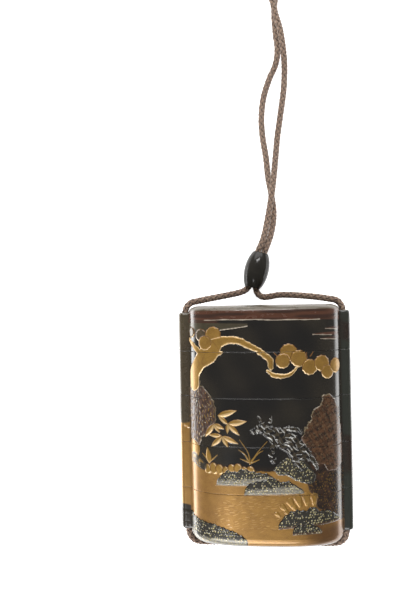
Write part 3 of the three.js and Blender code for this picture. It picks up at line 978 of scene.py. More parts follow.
@dataclass(frozen=True)
class Section:
    """The case's cross-section: a squarish oval with a rib at either side.

    Lengths are in mm from the case's long axis, and the counts say how many points each stretch of
    the outline has. The front has the most, because it carries the relief that the camera sees.
    """

    half_width: float = 28.0
    half_thickness: float = 12.0
    axis: float = 11.7
    power: float = 2.7
    rib_half: float = 2.8
    rib_reach: float = 31.9
    rib_round: float = 1.7
    channel_x: float = 29.43
    channel_radius: float = 1.67
    channel_clear: float = 0.06
    rib_run: float = 2.81
    front_count: int = 480
    back_count: int = 150
    rib_count: int = 17
    side_count: int = 15

    def point(self, angle: np.ndarray) -> np.ndarray:
        """Points on the oval |x / a| ** power + |z / b| ** power = 1.

        Args:
            angle: the directions in which they are seen, from +z.

        Returns:
            The points (x, z).
        """
        sin, cos = np.sin(angle), np.cos(angle)
        across = np.abs(sin / self.half_width) ** self.power
        reach = (across + np.abs(cos / self.half_thickness) ** self.power) ** (-1 / self.power)
        return np.stack([reach * sin, reach * cos], axis=-1)

    def normal(self, points: np.ndarray) -> np.ndarray:
        """The outward directions at points on the oval: the slope of its formula.

        Args:
            points: the points (x, z).

        Returns:
            The directions (x, z), of length 1.
        """
        size = np.array([self.half_width, self.half_thickness])
        slope = np.sign(points) * np.abs(points / size) ** (self.power - 1) / size
        return slope / np.linalg.norm(slope, axis=-1, keepdims=True)

    def even(self, start: float, end: float, count: int) -> tuple[np.ndarray, np.ndarray]:
        """Points spaced evenly along a stretch of the oval.

        Args:
            start: the first angle.
            end: the last angle.
            count: how many.

        Returns:
            The points, and for each the length along the oval from the middle of the stretch.
        """
        fine = np.linspace(start, end, 6001)
        run = np.concatenate([[0], np.cumsum(np.linalg.norm(np.diff(self.point(fine), axis=0), axis=1))])
        want = np.linspace(0, run[-1], count)
        return self.point(np.interp(want, run, fine)), want - run[-1] / 2

    @property
    def root(self) -> tuple[float, float]:
        """Where a rib's upper side leaves the oval on the right, as x and as the angle from +z."""
        share = (self.rib_half / self.half_thickness) ** self.power
        x = self.half_width * (1 - share) ** (1 / self.power)
        return x, float(np.arctan2(x, self.rib_half))

    def rib(self) -> np.ndarray:
        """The right rib's outline: two flats and a quarter round at each corner, evenly cut.

        Returns:
            The points (x, z) from its upper root to its lower one, without the roots.
        """
        corner = self.rib_reach - self.rib_round
        turn = np.linspace(0, np.pi / 2, 60)
        arc = self.rib_round * np.stack([np.sin(turn), np.cos(turn) - 1], axis=1) + [corner, self.rib_half]
        line = np.vstack([[self.root[0], self.rib_half], arc, [self.rib_reach, 0]])
        run = np.concatenate([[0], np.cumsum(np.linalg.norm(np.diff(line, axis=0), axis=1))])
        want = np.linspace(0, run[-1], self.rib_count + 1)[1:]
        upper = np.stack([np.interp(want, run, line[:, k]) for k in range(2)], axis=1)
        return np.concatenate([upper, (upper * [1, -1])[-2::-1]])

    def ring(self, inset: float, count: int) -> np.ndarray:
        """A loop (x, z) of count points round a smaller oval, whose half sizes are less by inset."""
        inner = Section(self.half_width - inset, self.half_thickness - inset, power=self.power)
        return inner.even(-np.pi, np.pi, count + 1)[0][:-1]

    def channel(self, side: int, count: int = 24) -> np.ndarray:
        """The loop of a rib's channel: a circle, cut flat where it would meet the case's wall.

        Args:
            side: 1 for the right rib, -1 for the left.
            count: how many points it has.

        Returns:
            The points (x, z).
        """
        angle = np.linspace(0, 2 * np.pi, count, endpoint=False)
        x = side * self.channel_x + self.channel_radius * np.sin(angle)
        nearest = self.half_width + self.channel_clear
        clear = np.where(np.abs(x) < nearest, side * nearest, x)
        return np.stack([clear, self.channel_radius * np.cos(angle)], axis=1)


@dataclass
class StackPiece:
    """The lid or one case of the stack: a hollow piece with its share of both ribs.

    Its outside is a grid: a row for each level y, and a column for each point of the section. Each
    column keeps its place s in the picture and the direction that its relief rises in.
    """

    node: str
    low: float
    high: float
    low_end: End = End.SEAM
    high_end: End = End.SEAM
    section: Section = field(default_factory=Section)
    step: float = 0.17
    gap: float = 0.14
    seam_round: float = 0.10
    round_inset: float = 4.0
    round_height: float = 2.2
    rib_setback: float = 2.4
    rib_end_round: float = 1.4
    rib_end_inset: float = 0.6
    wall: float = 2.2
    end_wall: float = 2.4
    floor: float = 1.6
    riser: float = 4.5
    riser_inset: float = 1.3
    recess_inset: float = 1.0
    recess_depth: float = 5.1
    ring_count: int = 160
    rib_fade: float = 0.35
    end_s: float = 34.0
    end_fold: float = 0.7
    loop: np.ndarray = field(init=False)
    s: np.ndarray = field(init=False)
    side: np.ndarray = field(init=False)
    out: np.ndarray = field(init=False)
    spans: np.ndarray = field(init=False)
    is_rib: np.ndarray = field(init=False)
    mouths: dict[int, np.ndarray] = field(init=False, default_factory=dict)

    def __post_init__(self) -> None:
        """Lays out the columns that every row of the outside shares."""
        sec = self.section
        root = sec.root[1]
        front, front_s = sec.even(-root, root, sec.front_count)
        back, back_s = sec.even(np.pi - root, np.pi + root, sec.back_count)
        rib, half = sec.rib(), sec.rib_count
        reach = front_s[-1] + sec.rib_run * np.arange(1, half + 1) / half
        right_s = np.concatenate([reach, -reach[-2::-1]])
        left_s = np.concatenate([reach[:-1], -reach[::-1]])
        ones = np.ones(half)
        turn = np.concatenate([ones, -ones[1:]])
        self.loop = np.concatenate([front, rib, back, -rib])
        self.s = np.concatenate([front_s, right_s, back_s, left_s])
        self.side = np.concatenate([np.ones(len(front)), turn, -np.ones(len(back)), turn[::-1]])
        around = np.roll(self.loop, -1, axis=0) - np.roll(self.loop, 1, axis=0)
        self.out = np.stack([-around[:, 1], around[:, 0]], axis=1)
        self.out /= np.linalg.norm(self.out, axis=1, keepdims=True)
        self.spans = np.cumsum([0, len(front), len(rib), len(back), len(rib)])
        for first, last in ((self.spans[0], self.spans[1]), (self.spans[2], self.spans[3])):
            self.out[first:last] = sec.normal(self.loop[first:last])
        self.is_rib = np.zeros(len(self.s), bool)
        self.is_rib[self.spans[1] : self.spans[2]] = True
        self.is_rib[self.spans[3] :] = True

    @property
    def foot(self) -> float:
        """The lower end of the outside, a gap above the piece below."""
        return self.low + (self.gap if self.low_end is End.SEAM else 0.0)

    def wall_rows(self) -> tuple[np.ndarray, np.ndarray, np.ndarray]:
        """The rows of the ribbed part of the outside.

        Returns:
            For each row its y, how far the surface is drawn in there, and how far the ribs are.
        """
        turn = np.linspace(0, np.pi / 2, 4)
        drop, inset = self.seam_round * (1 - np.cos(turn)), self.seam_round * (1 - np.sin(turn))
        if self.low_end is End.SEAM:
            low_y, low_in = self.foot + drop, inset
        else:
            low_y, low_in = np.array([self.low + self.rib_setback]), np.zeros(1)
        if self.high_end is End.SEAM:
            high_y, high_in = (self.high - drop)[::-1], inset[::-1]
        else:
            high_y, high_in = np.array([self.high - self.rib_setback]), np.zeros(1)
        count = int(round((high_y[0] - low_y[-1]) / self.step))
        middle = np.linspace(low_y[-1], high_y[0], count + 1)[1:-1]
        y = np.concatenate([low_y, middle, high_y])
        drawn = np.concatenate([low_in, np.zeros(len(middle)), high_in])
        near = np.full(len(y), np.inf)
        if self.low_end is End.ROUNDED:
            near = y - y[0]
        if self.high_end is End.ROUNDED:
            near = y[-1] - y
        share = np.clip(1 - near / self.rib_end_round, 0, 1)
        return y, drawn, self.rib_end_inset * (1 - np.sqrt(1 - share**2))

    def place(self, xz: np.ndarray, y: np.ndarray) -> np.ndarray:
        """Full points from (x, z) about the axis and y, kept above the surface that the case lies on."""
        height = np.maximum(xz[..., 1] + self.section.axis, 0.0)
        x, level, z = np.broadcast_arrays(xz[..., 0], y, height)
        return np.stack([x, level, z], axis=-1)

    def outside(self, shell: Shell, picture: "Picture") -> np.ndarray:
        """Adds the ribbed wall with its painting.

        Args:
            shell: the mesh to add to.
            picture: what is painted on it.

        Returns:
            The wall's point numbers, by row and column.
        """
        sec = self.section
        y, drawn, trim = self.wall_rows()
        rows, columns = len(y), len(self.s)
        loop = np.tile(self.loop, (rows, 1, 1))
        root = sec.root[0]
        rib = loop[:, self.is_rib]
        side = np.sign(rib[..., 0])
        beyond = (np.abs(rib[..., 0]) - root) * (1 - trim / (sec.rib_reach - root))[:, None]
        rib[..., 0] = side * (root + beyond)
        rib[..., 1] *= (1 - trim / sec.rib_half)[:, None]
        loop[:, self.is_rib] = rib
        coats = np.empty((rows, columns, 7))
        relief = np.empty((rows, columns))
        for side_name in Side:
            mask = self.side == side_name.value
            s = np.tile(self.s[mask], rows)
            art = picture.paint(s, np.repeat(y, mask.sum()), side_name)
            coats[:, mask] = art.coat.reshape(rows, -1, 7)
            relief[:, mask] = art.relief.reshape(rows, -1)
        fade = np.where(self.is_rib, self.rib_fade, smooth(31.1 - np.abs(self.s), 0.0, 1.5))
        shift = relief * fade - drawn[:, None]
        xz = loop + self.out * shift[..., None]
        index = shell.add(self.place(xz, y[:, None]), coats.reshape(-1, 7))
        shell.skin(index)
        return index

    def rounded_end(self, shell: Shell, edge: np.ndarray, y_edge: float, up: bool, picture: Picture) -> None:
        """Closes an end with the ribs' flat ends and the rounded shoulder.

        Args:
            shell: the mesh to add to.
            edge: point numbers of the wall's last row.
            y_edge: that row's y.
            up: whether it is the upper end.
            picture: what is painted on it.
        """
        sec, (front, right, back, left, end) = self.section, self.spans
        angle = sec.root[1]
        sides = [sec.even(angle, np.pi - angle, sec.side_count)[0][1:-1]]
        sides.append(-sides[0])
        arcs = [shell.add(self.place(arc, np.array(y_edge)), self.plain(len(arc))) for arc in sides]
        for arc, (first, last), side in zip(arcs, ((right, back), (left, end)), (1, -1)):
            start, stop = edge[first - 1], edge[last % len(edge)]
            outer = np.concatenate([[start], edge[first:last], [stop], arc[::-1]])
            shell.flat(outer, [self.mouths[side]], up)
        first_row = np.concatenate([edge[front:right], arcs[0], edge[back:left], arcs[1]])
        loop = np.concatenate([self.loop[front:right], sides[0], self.loop[back:left], sides[1]])
        out = sec.normal(loop)
        turn = np.linspace(0, np.pi / 2, 15)
        rise = self.shoulder(turn, up)
        inset = self.round_inset * (1 - np.cos(turn))
        arc_s = np.full(len(sides[0]), self.end_s)
        s = np.concatenate([self.s[front:right], arc_s, self.s[back:left], -arc_s])
        ones = np.ones(len(arc_s))
        side = np.concatenate([self.side[front:right], ones, self.side[back:left], ones])
        coats = np.empty((len(turn), len(s), 7))
        across = rise + self.end_fold * (inset if up else -inset)
        for side_name in Side:
            mask = side == side_name.value
            art = picture.paint(np.tile(s[mask], len(turn)), np.repeat(across, mask.sum()), side_name)
            coats[:, mask] = art.coat.reshape(len(turn), -1, 7)
        xz = loop - out * inset[:, None, None]
        cap = shell.add(self.place(xz, rise[:, None]), coats.reshape(-1, 7))
        rows = np.vstack([first_row[None], cap])
        shell.skin(rows, outward=up)
        shell.flat(cap[-1], [], up)

    def shoulder(self, turn: np.ndarray, up: bool) -> np.ndarray:
        """The y of each row of the shoulder: its height times the sine of the turn, out from the wall."""
        short = self.round_height * (1 - np.sin(turn))
        return self.high - short if up else self.low + short

    def plain(self, count: int) -> np.ndarray:
        """Coat rows of plain black lacquer."""
        return np.tile(Painting.row(BLACK), (count, 1))

    def tube(
        self, shell: Shell, loop: np.ndarray, levels: list[float], outward: bool
    ) -> tuple[np.ndarray, np.ndarray]:
        """Adds a straight wall.

        Args:
            shell: the mesh to add to.
            loop: its outline (x, z).
            levels: the two levels that it joins.
            outward: whether it looks outwards.

        Returns:
            Point numbers of its lower and its upper edge.
        """
        index = shell.add(self.place(loop, np.array(levels)[:, None]))
        shell.skin(index, outward)
        return index[0], index[1]

    def dress(self, picture: "Picture", finish: bpy.types.Material, slot: str) -> bpy.types.Object:
        """Builds the piece and puts it in the node's place.

        Args:
            picture: what is painted on it.
            finish: its material.
            slot: the record's material slot; not used.

        Returns:
            The new object.
        """
        shell, sec = Shell(), self.section
        wall = self.outside(shell, picture)
        y, _, _ = self.wall_rows()
        low_mouths, high_mouths = [], []
        for side in (1, -1):
            low, high = self.tube(shell, sec.channel(side), [y[0], y[-1]], False)
            low_mouths.append(low)
            high_mouths.append(high)
            self.mouths[side] = high if self.high_end is End.ROUNDED else low
        cavity = sec.ring(self.wall, self.ring_count)
        recess = sec.ring(self.recess_inset, self.ring_count)
        if self.low_end is End.SEAM:
            roof = self.foot + self.recess_depth
            recess_low, recess_high = self.tube(shell, recess, [self.foot, roof], False)
            shell.flat(wall[0], [recess_low, *low_mouths], False)
        else:
            self.rounded_end(shell, wall[0], y[0], False, picture)
        if self.high_end is End.SEAM:
            floor = roof + self.floor if self.low_end is End.SEAM else self.low + self.end_wall
            top = self.high + self.riser
            stand = sec.ring(self.riser_inset, self.ring_count)
            stand_low, stand_high = self.tube(shell, stand, [self.high, top], True)
            cavity_low, cavity_high = self.tube(shell, cavity, [floor, top], False)
            shell.flat(wall[-1], [stand_low, *high_mouths], True)
            shell.flat(stand_high, [cavity_high], True)
            shell.flat(cavity_low, [], True)
            if self.low_end is End.SEAM:
                shell.flat(recess_high, [], False)
        else:
            cavity_low, cavity_high = self.tube(shell, cavity, [roof, self.high - self.end_wall], False)
            shell.flat(recess_high, [cavity_low], False)
            shell.flat(cavity_high, [], False)
            self.rounded_end(shell, wall[-1], y[-1], True, picture)
        obj = shell.build(self.node + "_look")
        stand_in(obj, self.node, finish)
        return obj


@dataclass(frozen=True)
class Strand:
    """How the cord is braided: strands that wind both ways and pass over and under.

    Lay is the length of cord, in mm, in which a strand winds round it once, and core_step the
    number of the cord's steps from one ring of the core to the next.
    """

    ways: int = 4
    lay: float = 10.4
    radius: float = 0.82
    wave: float = 0.18
    half_width: float = 0.66
    half_height: float = 0.30
    sides: int = 6
    core: float = 0.85
    core_sides: int = 10
    core_step: int = 3


@dataclass
class Cord:
    """The one cord: through both ribs, under the base, over the lid, through the bead and round a loop.

    The rows of points are (x, y, z) in mm: the strand from the left rib over the lid and up
    through the bead, the bight at the loop's end, and the strand that comes back to the right rib.
    """

    diameter: float = 2.6
    channel_x: float = 29.43
    axis: float = 11.7
    reach: float = 44.75
    drop: float = BASE_DROP
    bend: float = 4.2
    lead: float = 5.0
    start: float = 20.0
    join_gap: float = 1.0
    step: float = 0.32
    exit_y: float = 40.6
    braid: Strand = field(default_factory=Strand)

    OVER = (
        (-21.6, 45.5, 10.2), (-17.2, 46.3, 8.3), (-12.4, 47.2, 6.4), (-9.0, 47.9, 5.4), (-6.6, 48.8, 4.8),
        (-5.05, 50.4, 4.6), (-4.45, 52.6, 4.7), (-3.3, 56.8, 4.8), (-1.55, 63.0, 4.95), (0.95, 69.0, 4.9),
        (3.0, 77.9, 4.4), (4.3, 85.0, 4.05), (5.4, 92.8, 3.3), (6.3, 100.7, 2.1), (7.3, 109.6, 1.4),
        (8.7, 118.5, 1.35), (10.0, 127.3, 1.35), (10.5, 136.0, 1.6), (10.1, 141.9, 2.9), (8.9, 150.0, 3.95),
        (7.2, 156.0, 4.1), (6.0, 161.8, 4.0), (3.4, 168.4, 2.4),
    )
    BIGHT = (
        (0.9, 175.0, 1.45), (1.4, 181.0, 1.35), (5.9, 184.8, 1.35), (10.9, 182.1, 1.35), (12.1, 176.2, 1.35),
    )
    UNDER = (
        (9.8, 169.2, 1.35), (7.3, 163.0, 1.35), (6.9, 157.2, 1.35), (7.3, 149.5, 1.35), (7.9, 143.4, 1.35),
        (7.0, 137.6, 1.35), (4.5, 132.1, 1.35), (2.1, 124.8, 1.35), (1.1, 117.0, 1.35), (1.35, 109.9, 1.35),
        (2.6, 101.0, 1.35), (3.3, 93.2, 1.35), (4.6, 85.4, 1.35), (5.2, 78.2, 1.6), (3.85, 70.4, 3.1),
        (0.95, 62.6, 4.2), (-0.65, 56.5, 4.5), (-2.35, 49.9, 4.6), (-2.0, 48.0, 4.6), (-0.9, 46.6, 4.65),
        (0.8, 46.0, 4.8), (3.0, 46.2, 5.2), (6.5, 46.7, 6.2), (13.4, 46.4, 8.0), (20.4, 45.6, 9.9),
    )

    def corner(self, side: int, end: int) -> np.ndarray:
        """A quarter turn round one corner of the case, from the channel inwards.

        Args:
            side: 1 for the right, -1 for the left.
            end: 1 for the lid's end, -1 for the base's.

        Returns:
            The points of the turn.
        """
        far = self.reach + (self.drop if end < 0 else 0.0)
        x, y = side * (self.channel_x - self.bend), end * (far - self.bend)
        angle = np.linspace(0, np.pi / 2, 5)
        turn = [x + side * self.bend * np.cos(angle), y + end * self.bend * np.sin(angle)]
        flat = np.vstack([[side * self.channel_x, y - end * self.lead], np.stack(turn, axis=1)])
        return np.column_stack([flat, np.full(len(flat), self.axis)])

    def route(self) -> np.ndarray:
        """The points that the cord passes through, in mm, from one end in the left channel to the other."""
        return np.vstack([
            [-self.channel_x, self.start, self.axis], self.corner(-1, 1), self.OVER, self.BIGHT, self.UNDER,
            self.corner(1, 1)[::-1], self.corner(1, -1), [0, -self.reach - self.drop, self.axis],
            self.corner(-1, -1)[::-1], [-self.channel_x, self.start - self.join_gap, self.axis],
        ])

    def line(self) -> np.ndarray:
        """Carries the cord along the centripetal Catmull-Rom curve through its route.

        Each span is a cubic in Hermite form between the points b and c. Its slopes there follow
        from the points before and after, a and d, with the square roots of the gaps as weights.

        Returns:
            Evenly spaced points, in mm.
        """
        p = self.route()
        p = np.vstack([2 * p[0] - p[1], p, 2 * p[-1] - p[-2]])
        a, b, c, d = p[:-3], p[1:-2], p[2:-1], p[3:]
        spans = ((a, b), (b, c), (c, d))
        before, here, after = (np.sqrt(np.linalg.norm(v - u, axis=1))[:, None] for u, v in spans)
        leave = ((b - a) / before - (c - a) / (before + here) + (c - b) / here) * here
        arrive = ((c - b) / here - (d - b) / (here + after) + (d - c) / after) * here
        t = np.linspace(0, 1, 60, endpoint=False)[None, :, None]
        h = [2 * t**3 - 3 * t**2 + 1, t**3 - 2 * t**2 + t, -2 * t**3 + 3 * t**2, t**3 - t**2]
        fine = sum(k * v[:, None] for k, v in zip(h, (b, leave, c, arrive))).reshape(-1, 3)
        fine = np.vstack([fine, p[-2]])
        run = np.concatenate([[0], np.cumsum(np.linalg.norm(np.diff(fine, axis=0), axis=1))])
        want = np.linspace(0, run[-1], int(run[-1] / self.step) + 1)
        return np.stack([np.interp(want, run, fine[:, k]) for k in range(3)], axis=1)

    def dress(self, finish: bpy.types.Material, bead: bpy.types.Object) -> bpy.types.Object:
        """A strand's middle winds round the cord's at the angle 2 pi * length / lay, one way or the
        other, and stands off by radius plus or minus wave * cos(2 pi * ways * length / lay), so
        that it passes over one strand and under the next.

        Args:
            finish: its material.
            bead: the bead that slides on it; not used.

        Returns:
            The new object.
        """
        braid, line = self.braid, self.line()
        steps = np.linalg.norm(np.diff(line, axis=0), axis=1)
        run = np.concatenate([[0], np.cumsum(steps)])
        along = np.gradient(line, axis=0)
        along /= np.linalg.norm(along, axis=1, keepdims=True)
        across = np.cross([0.0, 0.0, 1.0], along)
        across /= np.linalg.norm(across, axis=1, keepdims=True)
        above = np.cross(along, across)
        tubes = []
        round_angle = np.linspace(0, 2 * np.pi, braid.sides, endpoint=False)
        for way in (1, -1):
            for k in range(braid.ways):
                angle = (2 * np.pi * (way * run / braid.lay + k / braid.ways))[:, None]
                outward = np.cos(angle) * across + np.sin(angle) * above
                beside = np.cos(angle) * above - np.sin(angle) * across
                swing = np.cos(2 * np.pi * braid.ways * run / braid.lay)
                radius = braid.radius + way * braid.wave * swing
                middle = line + outward * radius[:, None]
                high = braid.half_height * np.cos(round_angle)[None, :, None] * outward[:, None]
                wide = braid.half_width * np.sin(round_angle)[None, :, None] * beside[:, None]
                tubes.append(middle[:, None] + high + wide)
        ring = np.linspace(0, 2 * np.pi, braid.core_sides, endpoint=False)[None, :, None]
        core, core_across, core_above = (rows[:: braid.core_step] for rows in (line, across, above))
        spokes = np.cos(ring) * core_across[:, None] + np.sin(ring) * core_above[:, None]
        tubes.append(core[:, None] + braid.core * spokes)
        lines = [line] * (2 * braid.ways) + [core]
        obj = self.weave(tubes, lines)
        stand_in(obj, "cord", finish)
        log.info("cord %.0f mm long", run[-1])
        return obj

    def weave(self, tubes: list, lines: list) -> bpy.types.Object:
        """Makes one mesh of closed tubes.

        Args:
            tubes: for each tube its points by ring and side.
            lines: for each tube the cord's middle at each ring.

        Returns:
            The new object.
        """
        points, faces, thread, stand, start = [], [], [], [], 0
        for grid, line in zip(tubes, lines):
            rings, sides = grid.shape[:2]
            index = start + np.arange(rings * sides).reshape(rings, sides)
            after = np.roll(index, -1, axis=1)
            faces += np.stack([index[:-1], after[:-1], after[1:], index[1:]], axis=-1).reshape(-1, 4).tolist()
            faces += [index[0][::-1].tolist(), index[-1].tolist()]
            points.append(grid.reshape(-1, 3))
            thread.append(np.tile(np.linspace(0, 1, sides, endpoint=False), rings))
            away = np.linalg.norm(grid - line[:, None], axis=2).ravel() / (0.5 * self.diameter)
            # How far each point stands out from the cord's middle; the silk darkens the low points as painted
            # shade.
            stand.append(smooth(away, 0.70, 1.0))
            start += rings * sides
        mesh = bpy.data.meshes.new("cord_look")
        mesh.from_pydata((np.vstack(points) * MM).tolist(), [], faces)
        layer(mesh, "thread", np.concatenate(thread))
        layer(mesh, "stand", np.concatenate(stand))
        return link(mesh, "cord_look", 70)


@dataclass
class Bead:
    """The sliding bead: a barrel-shaped body of revolution with one wide hole.

    At a distance t along the hole from the middle its radius is radius * sqrt(1 - (t / swell) ** 2).
    """

    centre: tuple[float, float, float] = (-2.0, 56.5, 4.75)
    axis: tuple[float, float, float] = (0.2554, 0.9668, 0.0)
    radius: float = 4.75
    length: float = 13.8
    swell: float = 8.93
    hole: float = 2.785
    lip: float = 0.25
    around: int = 128
    along: int = 60
    lip_steps: int = 6

    def dress(self, finish: bpy.types.Material) -> bpy.types.Object:
        """Turns the profile round the hole and puts it in the node's place.

        Args:
            finish: its material.

        Returns:
            The new object.
        """
        t = np.linspace(-self.length / 2 + self.lip, self.length / 2 - self.lip, self.along)
        outside = np.stack([self.radius * np.sqrt(1 - (t / self.swell) ** 2), t], axis=1)
        turn = np.linspace(0, np.pi / 2, self.lip_steps)
        cos, sin = self.lip * np.cos(turn), self.lip * np.sin(turn)
        lip = np.stack([outside[-1, 0] - self.lip + cos, t[-1] + sin], axis=1)
        inner = np.stack([self.hole + self.lip - sin, t[-1] + cos], axis=1)
        upper = np.vstack([lip[1:], inner])
        lower = (upper * [1, -1])[::-1]
        profile = np.vstack([outside, upper, lower])
        angle = np.linspace(0, 2 * np.pi, self.around, endpoint=False)
        axis = np.array(self.axis)
        beside = np.array([axis[1], -axis[0], 0.0])
        spoke = np.cos(angle)[:, None] * beside + np.sin(angle)[:, None] * [0, 0, 1.0]
        points = np.array(self.centre) + profile[:, None, :1] * spoke + profile[:, None, 1:] * axis
        index = np.arange(len(profile) * self.around).reshape(len(profile), self.around)
        next_ring, after = np.roll(index, -1, axis=0), np.roll(index, -1, axis=1)
        quads = np.stack([index, after, np.roll(next_ring, -1, axis=1), next_ring], axis=-1).reshape(-1, 4)
        mesh = bpy.data.meshes.new("bead_look")
        mesh.from_pydata((points.reshape(-1, 3) * MM).tolist(), [], quads.tolist())
        obj = link(mesh, "bead_look", 50)
        stand_in(obj, "bead", finish)
        return obj


class Nodes:
    """A short way to build a material's nodes."""

    def __init__(self, name: str) -> None:
        """Starts a material with a plain surface shader.

        Args:
            name: the material's name.
        """
        self.material = bpy.data.materials.new(name)
        self.material.use_nodes = True
        self.tree = self.material.node_tree
        self.shader = self.tree.nodes["Principled BSDF"]

    def add(self, kind: str, inputs: dict | None = None, **settings: str) -> bpy.types.Node:
        """Adds a node.

        Args:
            kind: its type.
            inputs: what goes into its sockets: numbers, or other nodes' sockets.
            settings: its own settings.

        Returns:
            The node.
        """
        node = self.tree.nodes.new(kind)
        for key, value in settings.items():
            setattr(node, key, value)
        for key, value in (inputs or {}).items():
            self.feed(node.inputs[key], value)
        return node

    def feed(self, socket: bpy.types.NodeSocket, value: Feed) -> None:
        """Sets a socket, or links it to another.

        Args:
            socket: the input socket.
            value: a number or colour, or the output socket that it takes its value from.
        """
        if isinstance(value, bpy.types.NodeSocket):
            self.tree.links.new(value, socket)
        else:
            socket.default_value = value

    def surface(self, **inputs: Feed) -> None:
        """Feeds the surface shader's sockets, named with _ for a space."""
        for key, value in inputs.items():
            self.feed(self.shader.inputs[key.replace("_", " ")], value)

    def math(self, operation: str, *values: Feed) -> bpy.types.NodeSocket:
        """One step of arithmetic.

        Args:
            operation: what it does.
            values: what it does it with.

        Returns:
            The result.
        """
        return self.add("ShaderNodeMath", dict(enumerate(values)), operation=operation).outputs[0]

    def wander(self, noise: bpy.types.NodeSocket, swing: float) -> bpy.types.NodeSocket:
        """Noise that swings round 0 instead of 0.5."""
        return self.math("MULTIPLY", self.math("SUBTRACT", noise, 0.5), swing)

    def mix(self, factor: Feed, first: Feed, second: Feed) -> bpy.types.NodeSocket:
        """A mix of two colours: the first where the factor is 0, the second where it is 1."""
        node = self.add("ShaderNodeMix", data_type="RGBA")
        for key, value in ((0, factor), (6, first), (7, second)):
            self.feed(node.inputs[key], value)
        return node.outputs[2]

    def scaled(self, color: bpy.types.NodeSocket, level: bpy.types.NodeSocket) -> bpy.types.NodeSocket:
        """A colour, brighter or darker by a level."""
        return self.add("ShaderNodeVectorMath", {0: color, "Scale": level}, operation="SCALE").outputs[0]

    def number(self, name: str) -> bpy.types.NodeSocket:
        """A layer of numbers on the mesh."""
        return self.add("ShaderNodeAttribute", attribute_name=name).outputs["Fac"]

    def place(self) -> bpy.types.NodeSocket:
        """Where a point lies, in the object's own space."""
        return self.add("ShaderNodeTexCoord").outputs["Object"]

    def noise(self, scale: float, detail: float) -> bpy.types.NodeSocket:
        """Noise in the object's own space, from 0 to 1."""
        inputs = {"Vector": self.place(), "Scale": scale, "Detail": detail}
        return self.add("ShaderNodeTexNoise", inputs).outputs[0]

    def bump(self, height: bpy.types.NodeSocket, strength: float, depth: float) -> None:
        """Roughens the surface with fine relief.

        Args:
            height: the relief, as a number.
            strength: how much it shows.
            depth: how high 1 stands, in metres.
        """
        node = self.add("ShaderNodeBump", {"Height": height, "Strength": strength, "Distance": depth})
        self.surface(Normal=node.outputs[0])


@dataclass(frozen=True)
class Lacquer:
    """Polished lacquer: painted coats with powder grain, flecks of gold and shell, and a clear top.

    Scales are in waves or cells to a metre.
    """

    powder_scale: float = 7000.0
    powder_swing: float = 2.4
    cloud_scale: float = 420.0
    cloud_swing: float = 1.1
    cloud_rough: float = 0.06
    darkest: float = 0.15
    fleck_scale: float = 2600.0
    fleck_share: float = 0.62
    fleck_reach: float = 0.36
    fleck_shine: float = 0.6
    gold_fleck: Rgba = (0.62, 0.42, 0.16, 1)
    shell_fleck: Rgba = (0.62, 0.66, 0.58, 1)
    clear_weight: float = 0.35
    clear_rough: float = 0.08
    bump_strength: float = 0.22
    bump_depth: float = 0.00003

    def make(self) -> bpy.types.Material:
        """Builds the material, which reads the coats from the mesh's layers.

        Returns:
            The material.
        """
        n = Nodes("lacquer")
        paint = n.add("ShaderNodeAttribute", attribute_name="paint").outputs["Color"]
        grain = n.number("grain")
        powder = n.noise(self.powder_scale, 2.0)
        cloud = n.noise(self.cloud_scale, 3.0)
        uneven = n.math("ADD", n.wander(powder, self.powder_swing), n.wander(cloud, self.cloud_swing))
        level = n.math("MAXIMUM", n.math("ADD", n.math("MULTIPLY", uneven, grain), 1.0), self.darkest)
        bits = n.add("ShaderNodeTexVoronoi", {"Vector": n.place(), "Scale": self.fleck_scale})
        pick = n.add("ShaderNodeSeparateColor", {0: bits.outputs["Color"]})
        share = n.math("MULTIPLY", n.number("fleck"), self.fleck_share)
        chosen = n.math("LESS_THAN", pick.outputs[0], share)
        near = n.math("LESS_THAN", bits.outputs["Distance"], self.fleck_reach)
        speck = n.math("MULTIPLY", chosen, near)
        tint = n.mix(pick.outputs[1], self.gold_fleck, self.shell_fleck)
        n.surface(
            Base_Color=n.mix(speck, n.scaled(paint, level), tint),
            Metallic=n.math("MAXIMUM", n.number("metal"), n.math("MULTIPLY", speck, self.fleck_shine)),
            Roughness=n.math("ADD", n.number("rough"), n.math("MULTIPLY", cloud, self.cloud_rough)),
            Coat_Weight=self.clear_weight,
            Coat_Roughness=self.clear_rough,
        )
        height = n.math("MULTIPLY", n.math("ADD", powder, speck), grain)
        n.bump(height, self.bump_strength, self.bump_depth)
        return n.material


@dataclass(frozen=True)
class Stone:
    """Polished black stone, faintly clouded, with a few fine scratches of wear."""

    dark: Rgba = (0.014, 0.013, 0.011, 1)
    light: Rgba = (0.036, 0.032, 0.027, 1)
    cloud_scale: float = 260.0
    wear_scale: float = 2400.0
    smoothest: float = 0.10
    wear_rough: float = 0.12
    shine: float = 0.3

    def make(self) -> bpy.types.Material:
        """Builds the material.

        Returns:
            The material.
        """
        n = Nodes("stone")
        cloud = n.noise(self.cloud_scale, 5.0)
        wear = n.noise(self.wear_scale, 3.0)
        n.surface(
            Base_Color=n.mix(cloud, self.dark, self.light),
            Roughness=n.math("ADD", self.smoothest, n.math("MULTIPLY", wear, self.wear_rough)),
            Specular_IOR_Level=self.shine,
        )
        n.bump(wear, 0.06, 0.00005)
        return n.material


